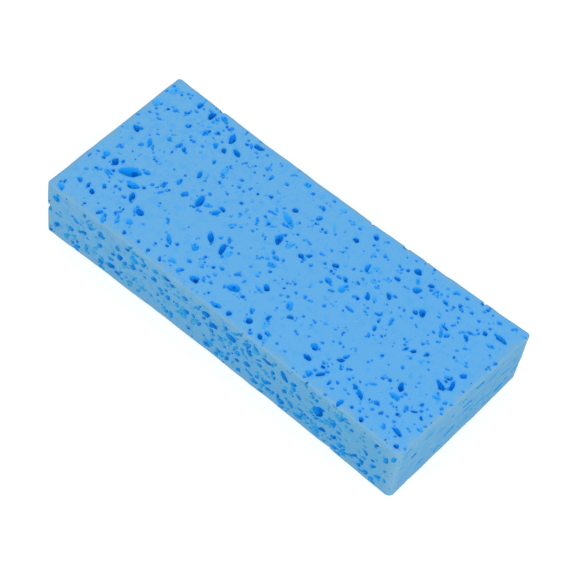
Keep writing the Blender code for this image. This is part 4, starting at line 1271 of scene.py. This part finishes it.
@dataclass(frozen=True)
class Finish:
    """What the foam's finishes share: the nodes that vary a colour over the surface."""

    # How much the finer layers of the clouds weigh, and how strongly a relief bends the light.
    CLOUD_ROUGHNESS, RELIEF_STRENGTH = 0.55, 0.5

    @staticmethod
    def mixed(
        tree: bpy.types.NodeTree, share: Any, first: Any, second: Any, way: str = "MIX"
    ) -> bpy.types.NodeSocket:
        """Mixes two colours by a share that varies over the surface.

        Args:
            tree: The material's nodes.
            share: The share of the second colour, from 0 to 1.
            first: The first colour, or the socket that gives it.
            second: The second colour, or the socket that gives it.
            way: How Blender puts the second on the first.

        Returns:
            The mixed colour.
        """
        settings = {"data_type": "RGBA", "blend_type": way}
        return add_node(tree, "ShaderNodeMix", settings, {0: share, 6: first, 7: second}).outputs[2]

    @staticmethod
    def between(
        tree: bpy.types.NodeTree, value: bpy.types.NodeSocket, low: float, high: float, most: float
    ) -> bpy.types.NodeSocket:
        """Maps a value smoothly from one range to another.

        Args:
            tree: The material's nodes.
            value: The value.
            low: Where the result is 0. It may lie above the other end.
            high: Where the result is at its most.
            most: The most that the result gets.

        Returns:
            The result.
        """
        span = add_node(
            tree,
            "ShaderNodeMapRange",
            {"interpolation_type": "SMOOTHSTEP"},
            {"Value": value, "From Min": low, "From Max": high, "To Min": 0.0, "To Max": most},
        )
        return span.outputs["Result"]

    @staticmethod
    def worked(
        tree: bpy.types.NodeTree, operation: str, first: Any, second: Any = 0.0
    ) -> bpy.types.NodeSocket:
        """Works out a number from one or two others.

        Args:
            tree: The material's nodes.
            operation: The sum's name in Blender.
            first: The first number, or the socket that gives it.
            second: The second number, or the socket that gives it.

        Returns:
            The outcome.
        """
        node = add_node(tree, "ShaderNodeMath", {"operation": operation}, {0: first, 1: second})
        return node.outputs["Value"]

    @staticmethod
    def clouds(
        tree: bpy.types.NodeTree,
        size_mm: float,
        stretch: tuple[float, float, float] = (1.0, 1.0, 1.0),
        detail: float = 2.0,
    ) -> bpy.types.NodeSocket:
        """Makes soft clouds around the value of a half.

        Args:
            tree: The material's nodes.
            size_mm: The size of a cloud, in millimetres.
            stretch: How much longer than that it is along X, Y and Z.
            detail: How many finer layers it has.

        Returns:
            The clouds' value.
        """
        place = add_node(tree, "ShaderNodeNewGeometry")
        squeezed = add_node(
            tree,
            "ShaderNodeVectorMath",
            {"operation": "DIVIDE"},
            {0: place.outputs["Position"], 1: [size_mm * MM * share for share in stretch]},
        )
        noise = add_node(
            tree,
            "ShaderNodeTexNoise",
            inputs={
                "Vector": squeezed.outputs["Vector"],
                "Scale": 1.0,
                "Detail": detail,
                "Roughness": Finish.CLOUD_ROUGHNESS,
            },
        )
        return noise.outputs["Fac"]

    @staticmethod
    def finished(
        name: str,
        tree: bpy.types.NodeTree,
        colour: bpy.types.NodeSocket,
        height: bpy.types.NodeSocket,
        relief_mm: float,
        roughness: float,
        shine: float,
    ) -> None:
        """Joins a colour and a relief to the material's output.

        Args:
            name: The shader's name.
            tree: The material's nodes.
            colour: The colour.
            height: The relief's height, from 0 to 1.
            relief_mm: How deep the relief is, in millimetres.
            roughness: How matt the surface is.
            shine: The strength of its reflection, where a half is usual.
        """
        relief = {"Strength": Finish.RELIEF_STRENGTH, "Distance": relief_mm * MM, "Height": height}
        bump = add_node(tree, "ShaderNodeBump", inputs=relief)
        shader = add_node(
            tree,
            "ShaderNodeBsdfPrincipled",
            {"name": name},
            {
                "Base Color": colour,
                "Roughness": roughness,
                "Specular IOR Level": shine,
                "Normal": bump.outputs["Normal"],
            },
        )
        add_node(tree, "ShaderNodeOutputMaterial", inputs={"Surface": shader.outputs["BSDF"]})


@dataclass(frozen=True)
class KnifeCutSkin(Finish):
    """Cellulose foam, dyed blue through and cut with a blade: the flat skin between the cells.

    The blade smears the film's cut ends into a dry, matt, slightly chalky surface, so the eye reads
    it as a paler and greyer blue than the film inside the cells. The narrow sides are greyer still,
    the ends are streaked the way the blade went, and the edges are rubbed almost colourless.

    Attributes:
        broad_far: The broad faces at the far end, where the dye took a little less.
        broad_near: The broad faces at the near end.
        broad_patch: The faint patches on them, where a cell lies just under the skin.
        side_far: The long narrow sides at the far end.
        side_near: The long narrow sides at the near end.
        side_patch: The faint patches on those.
        end_colour: The ends.
        end_streak: The streaks that the blade left on the ends.
        seep_shade_colour: Painted shade: the deeper blue of the skin beside a cell, where light seeps
            into it.
        pinhole_colour: The finest cells.
        worn_colour: The rubbed edges.
        broad_to_side: How much a face looks up or down where it starts to take the narrow sides'
            colours, and where it has them, from 1 for a level face to 0.
        side_to_end: How much it looks lengthwise where it starts to take the ends' colours, and
            where it has them.
        far_to_near_mm: Where along X the far end's colours start to give way, and where they end.
        patch_mm: The size of the faint patches.
        patches: The clouds' values where a patch starts and where it is full.
        streak_mm: The breadth of a blade streak.
        streak_stretch: How much longer it is along X, Y and Z.
        streaks: The clouds' values where a streak starts and where it is full.
        thin_mm: How far the occlusion test for the painted shade looks into the foam.
        thin: The foam's wholeness below, from 1 for whole, where the painted shade starts and is full.
        thin_most: The share of the painted shade there.
        pinhole_mm: The spacing of the finest cells. It is drawn coarser than the real 0.4 mm, so
            that it shows.
        pinholes_there: The chance values where a pinhole is faintly there and where it is full.
        pinhole_rim: Where one starts and where it is full, as shares of the spacing.
        pinhole_most: How strongly it shows there.
        grain_mm: The size of the film ends that the blade left standing.
        relief_mm: How deep they and the pinholes are.
        wear_reach: How much further than its usual breadth the rubbed strip reaches down the sides,
            in over the top from an end and along an upright edge.
        tatters_mm: The size of the scraps that its border is torn into.
        tatters_stretch: How much longer they are along X, Y and Z.
        tatters: The clouds' values where a scrap starts and where it is full.
        tatters_deep: How far the border wanders, in millimetres.
        wear_span: How far from an edge the rubbing starts and where it is full, in millimetres.
        wear_most: The share that is rubbed there.
        roughness: Typical for dry paper or cellulose.
        shine: Weaker than usual, because the surface scatters.
    """

    broad_far: str = "#67B1E7"
    broad_near: str = "#60AEEA"
    broad_patch: str = "#59ACEC"
    side_far: str = "#6BAEDB"
    side_near: str = "#63A7D0"
    side_patch: str = "#5CA5D4"
    end_colour: str = "#72AFD4"
    end_streak: str = "#5CA5D9"
    seep_shade_colour: str = "#46A3EE"
    pinhole_colour: str = "#4AA2E6"
    worn_colour: str = "#7CAECB"
    broad_to_side: Range = (0.95, 0.35)
    side_to_end: Range = (0.25, 0.85)
    far_to_near_mm: Range = (-90.0, 90.0)
    patch_mm: float = 3.2
    patches: Range = (0.48, 0.70)
    streak_mm: float = 1.1
    streak_stretch: tuple[float, float, float] = (1.0, 5.5, 1.0)
    streaks: Range = (0.38, 0.66)
    thin_mm: float = 1.15
    thin: Range = (0.97, 0.55)
    thin_most: float = 0.9
    pinhole_mm: float = 1.0
    pinholes_there: Range = (0.45, 0.95)
    pinhole_rim: Range = (0.36, 0.10)
    pinhole_most: float = 0.8
    grain_mm: float = 0.45
    relief_mm: float = 0.12
    wear_reach: tuple[float, float, float] = (2.2, 1.2, 2.6)
    tatters_mm: float = 1.8
    tatters_stretch: tuple[float, float, float] = (2.0, 2.0, 1.0)
    tatters: Range = (0.30, 0.70)
    tatters_deep: float = 2.4
    wear_span: Range = (3.8, 0.9)
    wear_most: float = 0.7
    roughness: float = 0.93
    shine: float = 0.2

    def material(self) -> bpy.types.Material:
        """Makes the material.

        Returns:
            The knife-cut skin.
        """
        made = new_material("cellulose_foam_knife_cut")
        tree = made.node_tree
        holes = self._pinholes(tree)
        # Painted shade: the skin takes a deeper blue beside a cell, where light seeps through thin skin.
        colour = self.mixed(tree, self._seep_shade(tree), self._faces(tree), linear(self.seep_shade_colour))
        colour = self.mixed(tree, holes, colour, linear(self.pinhole_colour))
        colour = self.mixed(tree, self._wear(tree), colour, linear(self.worn_colour))
        grain = self.clouds(tree, self.grain_mm, detail=3.0)
        relief = self.worked(tree, "SUBTRACT", grain, holes)
        self.finished("chalky_skin", tree, colour, relief, self.relief_mm, self.roughness, self.shine)
        return made

    def _faces(self, tree: bpy.types.NodeTree) -> bpy.types.NodeSocket:
        """Colours each face by the way that it looks, with its own faint patches.

        Args:
            tree: The material's nodes.

        Returns:
            The colour.
        """
        place = add_node(tree, "ShaderNodeNewGeometry")
        split = add_node(tree, "ShaderNodeSeparateXYZ", inputs={0: place.outputs["True Normal"]})
        level = self.worked(tree, "ABSOLUTE", split.outputs["Z"])
        steep = self.between(tree, level, *self.broad_to_side, 1.0)
        lengthwise = self.worked(tree, "ABSOLUTE", split.outputs["X"])
        endwise = self.between(tree, lengthwise, *self.side_to_end, 1.0)
        patchy = self.between(tree, self.clouds(tree, self.patch_mm), *self.patches, 1.0)
        streaks = self.clouds(tree, self.streak_mm, self.streak_stretch, 3.0)
        streaky = self.between(tree, streaks, *self.streaks, 1.0)
        spot = add_node(tree, "ShaderNodeSeparateXYZ", inputs={0: place.outputs["Position"]})
        far, close = (end * MM for end in self.far_to_near_mm)
        near = self.between(tree, spot.outputs["X"], far, close, 1.0)
        broad = self.mixed(tree, near, linear(self.broad_far), linear(self.broad_near))
        broad = self.mixed(tree, patchy, broad, linear(self.broad_patch))
        side = self.mixed(tree, near, linear(self.side_far), linear(self.side_near))
        side = self.mixed(tree, patchy, side, linear(self.side_patch))
        end = self.mixed(tree, streaky, linear(self.end_colour), linear(self.end_streak))
        return self.mixed(tree, steep, broad, self.mixed(tree, endwise, side, end))

    def _pinholes(self, tree: bpy.types.NodeTree) -> bpy.types.NodeSocket:
        """Spreads the finest cells, which about half the places have.

        Args:
            tree: The material's nodes.

        Returns:
            1 in the middle of a pinhole and 0 off it.
        """
        place = add_node(tree, "ShaderNodeNewGeometry")
        spots = add_node(
            tree,
            "ShaderNodeTexVoronoi",
            inputs={"Vector": place.outputs["Position"], "Scale": 1 / (self.pinhole_mm * MM)},
        )
        split = add_node(tree, "ShaderNodeSeparateColor", inputs={0: spots.outputs["Color"]})
        there = self.between(tree, split.outputs["Red"], *self.pinholes_there, 1.0)
        near = self.between(tree, spots.outputs["Distance"], *self.pinhole_rim, self.pinhole_most)
        return self.worked(tree, "MULTIPLY", there, near)

    def _seep_shade(self, tree: bpy.types.NodeTree) -> bpy.types.NodeSocket:
        """Paints shade by how little foam there is under the skin: it rises where a cell lies close by.

        Args:
            tree: The material's nodes.

        Returns:
            The share of the painted shade, from 0 to 1.
        """
        below = add_node(
            tree,
            "ShaderNodeAmbientOcclusion",
            {"inside": True, "only_local": True, "samples": 6},
            {"Distance": self.thin_mm * MM},
        )
        return self.between(tree, below.outputs["AO"], *self.thin, self.thin_most)

    def _wear(self, tree: bpy.types.NodeTree) -> bpy.types.NodeSocket:
        """Finds how rubbed the skin is: patchy, and only within a ragged strip along the edges.

        Args:
            tree: The material's nodes.

        Returns:
            The share that is rubbed, from 0 to 1.
        """
        inset = add_node(tree, "ShaderNodeAttribute", {"attribute_name": "inset_mm"})
        split = add_node(tree, "ShaderNodeSeparateXYZ", inputs={0: inset.outputs["Vector"]})
        x, y, z = split.outputs
        reach_down, reach_in, reach_along = self.wear_reach
        down = self.worked(tree, "DIVIDE", z, reach_down)
        long_edge = self.worked(tree, "MAXIMUM", y, down)
        end_edge = self.worked(tree, "MAXIMUM", self.worked(tree, "DIVIDE", x, reach_in), down)
        upright = self.worked(tree, "DIVIDE", self.worked(tree, "MAXIMUM", x, y), reach_along)
        nearest = self.worked(tree, "MINIMUM", long_edge, self.worked(tree, "MINIMUM", end_edge, upright))
        tatters = self.clouds(tree, self.tatters_mm, self.tatters_stretch, 4.0)
        ragged = self.between(tree, tatters, *self.tatters, self.tatters_deep)
        strip = self.worked(tree, "ADD", nearest, ragged)
        return self.between(tree, strip, *self.wear_span, self.wear_most)


@dataclass(frozen=True)
class CellFilm(Finish):
    """Cellulose film, dyed blue: the smooth inside of the cells, which set as the foam's gas rose.

    Nothing has scuffed it, so the eye reads it as a clear and saturated blue. Here that blue deepens
    and darkens with depth below the skin, partly as the film's own colour and partly as painted shade
    for each wall that the light passes.

    Attributes:
        colours: The colour at a depth below the skin, in millimetres: the film's blue with painted shade.
        deepest_mm: The depth of the last colour.
        upright_tint: What the film near the skin is multiplied by on the upright sides, which greys it.
        tint_mm: How deep below the skin that starts, and where it is full.
        wrinkle_mm: The size of the film's wrinkles.
        relief_mm: How deep they are.
        roughness: Smoother than the skin.
        shine: Weak, because the film is wrinkled at a scale that no relief here shows.
    """

    colours: tuple[tuple[float, str], ...] = (
        (0.0, "#55ACEE"),
        (0.2, "#45AAF2"),
        (0.5, "#2CA5F4"),
        (1.2, "#10A0F2"),
        (3.0, "#0095EA"),
    )
    deepest_mm: float = 3.0
    upright_tint: str = "#F4F4DE"
    tint_mm: Range = (1.4, 0.1)
    wrinkle_mm: float = 0.5
    relief_mm: float = 0.1
    roughness: float = 0.62
    shine: float = 0.05

    def material(self) -> bpy.types.Material:
        """Makes the material.

        Returns:
            The film inside the cells.
        """
        made = new_material("cellulose_film_blown_cell")
        tree = made.node_tree
        depth = add_node(tree, "ShaderNodeAttribute", {"attribute_name": "depth_mm"})
        share = self.worked(tree, "DIVIDE", depth.outputs["Fac"], self.deepest_mm)
        # Painted shade: the film turns darker and a deeper blue the further it lies below the skin.
        ramp = add_node(tree, "ShaderNodeValToRGB", inputs={"Fac": share})
        stops = ramp.color_ramp.elements
        stops.remove(stops[1])
        for number, (at, colour) in enumerate(self.colours):
            stop = stops[0] if number == 0 else stops.new(at / self.deepest_mm)
            stop.color = linear(colour)
        upright = add_node(tree, "ShaderNodeAttribute", {"attribute_name": "upright"})
        near_skin = self.between(tree, depth.outputs["Fac"], *self.tint_mm, 1.0)
        tint_share = self.worked(tree, "MULTIPLY", upright.outputs["Fac"], near_skin)
        tinted = self.mixed(tree, tint_share, ramp.outputs["Color"], linear(self.upright_tint), "MULTIPLY")
        wrinkles = self.clouds(tree, self.wrinkle_mm)
        self.finished("smooth_film", tree, tinted, wrinkles, self.relief_mm, self.roughness, self.shine)
        return made


@dataclass
class Studio:
    """A plain pale floor in soft, even light.

    Attributes:
        floor_size: The floor's side, in metres.
        floor_colour: Matt white card.
        card_glow: What the camera sees added to the card, so that it reads as white.
        world_strength: The even light from all round.
        key_power: The power of the soft lamp overhead, in watts.
        key_place: Where it hangs, in metres.
        key_size: Its side, in metres.
    """

    floor_size: float = 12.0
    floor_colour: str = "#E6E6E6"
    card_glow: float = 0.42
    world_strength: float = 0.82
    key_power: float = 9.6
    key_place: tuple[float, float, float] = (0.98, -0.92, 0.90)
    key_size: float = 1.1

    def build(self) -> None:
        """Builds the floor, the world and the lamp."""
        self._floor()
        self._world()
        self._lamp()

    def _floor(self) -> None:
        """Lays the floor, which keeps the object's shadow."""
        bpy.ops.mesh.primitive_plane_add(size=self.floor_size)
        floor = bpy.context.object
        floor.name = "floor"
        made = new_material("matt_white_card")
        tree = made.node_tree
        seen_by = add_node(tree, "ShaderNodeLightPath").outputs
        seen = Finish.worked(tree, "MAXIMUM", seen_by["Is Camera Ray"], seen_by["Is Glossy Ray"])
        seen = Finish.worked(tree, "MAXIMUM", seen, seen_by["Is Transmission Ray"])
        glow = Finish.worked(tree, "MULTIPLY", seen, self.card_glow)
        card = add_node(tree, "ShaderNodeBsdfDiffuse", inputs={"Color": linear(self.floor_colour)})
        light = add_node(tree, "ShaderNodeEmission", inputs={"Strength": glow})
        both = add_node(
            tree, "ShaderNodeAddShader", inputs={0: card.outputs["BSDF"], 1: light.outputs["Emission"]}
        )
        add_node(tree, "ShaderNodeOutputMaterial", inputs={"Surface": both.outputs["Shader"]})
        floor.data.materials.append(made)

    def _world(self) -> None:
        """Lights the scene evenly, and shows white where the camera sees past the floor."""
        world = bpy.data.worlds.new("soft_studio")
        bpy.context.scene.world = world
        world.use_nodes = True
        tree = world.node_tree
        tree.nodes.clear()
        seen = add_node(tree, "ShaderNodeLightPath").outputs["Is Camera Ray"]
        lights: dict[str | int, Any] = {0: seen}
        for number, strength in ((1, self.world_strength), (2, 1.0)):
            inputs = {"Color": WHITE, "Strength": strength}
            light = add_node(tree, "ShaderNodeBackground", inputs=inputs)
            lights[number] = light.outputs["Background"]
        mix = add_node(tree, "ShaderNodeMixShader", inputs=lights)
        add_node(tree, "ShaderNodeOutputWorld", inputs={"Surface": mix.outputs["Shader"]})

    def _lamp(self) -> None:
        """Hangs the soft lamp that gives the cells their shaded side."""
        data = bpy.data.lights.new("soft_box", "AREA")
        data.energy = self.key_power
        data.size = self.key_size
        lamp = bpy.data.objects.new("soft_box", data)
        bpy.context.scene.collection.objects.link(lamp)
        lamp.location = self.key_place
        lamp.rotation_euler = (-lamp.location).to_track_quat("-Z", "Y").to_euler()


@dataclass
class PhotoCamera:
    """The camera at the photograph's viewing angle.

    Attributes:
        aim: The point at the middle of the picture, in metres.
        azimuth: How far it stands round to the right of the front, in degrees.
        elevation: How far it looks down, in degrees.
        roll: How far the picture turns about the line of sight, in degrees.
        distance: From the aim, in metres.
        lens: The focal length, in millimetres.
        sensor: The sensor's width, in millimetres.
        nearest: How near the camera still sees, in metres.
    """

    aim: tuple[float, float, float] = (4.85 * MM, -0.68 * MM, 15.0 * MM)
    azimuth: float = 37.88
    elevation: float = 54.33
    roll: float = 4.91
    distance: float = 0.8612
    lens: float = 139.32
    sensor: float = 36.0
    nearest: float = 0.01

    def build(self) -> None:
        """Sets up the camera and makes it the scene's."""
        data = bpy.data.cameras.new("photo_camera")
        data.lens = self.lens
        data.sensor_width = self.sensor
        data.clip_start = self.nearest
        camera = bpy.data.objects.new("photo_camera", data)
        bpy.context.scene.collection.objects.link(camera)
        across, up = math.radians(self.azimuth), math.radians(self.elevation)
        back = Vector(
            (math.sin(across) * math.cos(up), -math.cos(across) * math.cos(up), math.sin(up))
        )
        level = (-back).to_track_quat("-Z", "Y").to_matrix()
        turned = level @ Matrix.Rotation(math.radians(self.roll), 3, "Z")
        camera.rotation_euler = turned.to_euler()
        camera.location = Vector(self.aim) + back * self.distance
        bpy.context.scene.camera = camera


def main() -> None:
    """Builds the sponge and its studio, and reports each piece."""
    logging.basicConfig(level=logging.INFO, format="%(name)s: %(message)s")
    form = BrickForm.of_node("sponge")
    LOG.info("brick %.1f x %.1f x %.1f mm", form.length / MM, form.width / MM, form.thickness / MM)
    cells = CellField(form).cells()
    LOG.info("%d open cells", len(cells))
    foam = SpongeBrick(form).build(cells)
    foam.data.materials[FoamPart.SKIN.value] = KnifeCutSkin().material()
    foam.data.materials[FoamPart.WALL.value] = CellFilm().material()
    foam.data.calc_loop_triangles()
    LOG.info("%s has %d triangles", foam.name, len(foam.data.loop_triangles))
    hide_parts("sponge")
    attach(foam, "root")
    Studio().build()
    PhotoCamera().build()
    LOG.info("floor, light and camera are set")
    bpy.context.scene.view_settings.view_transform = "Standard"


if __name__ == "__main__":
    main()
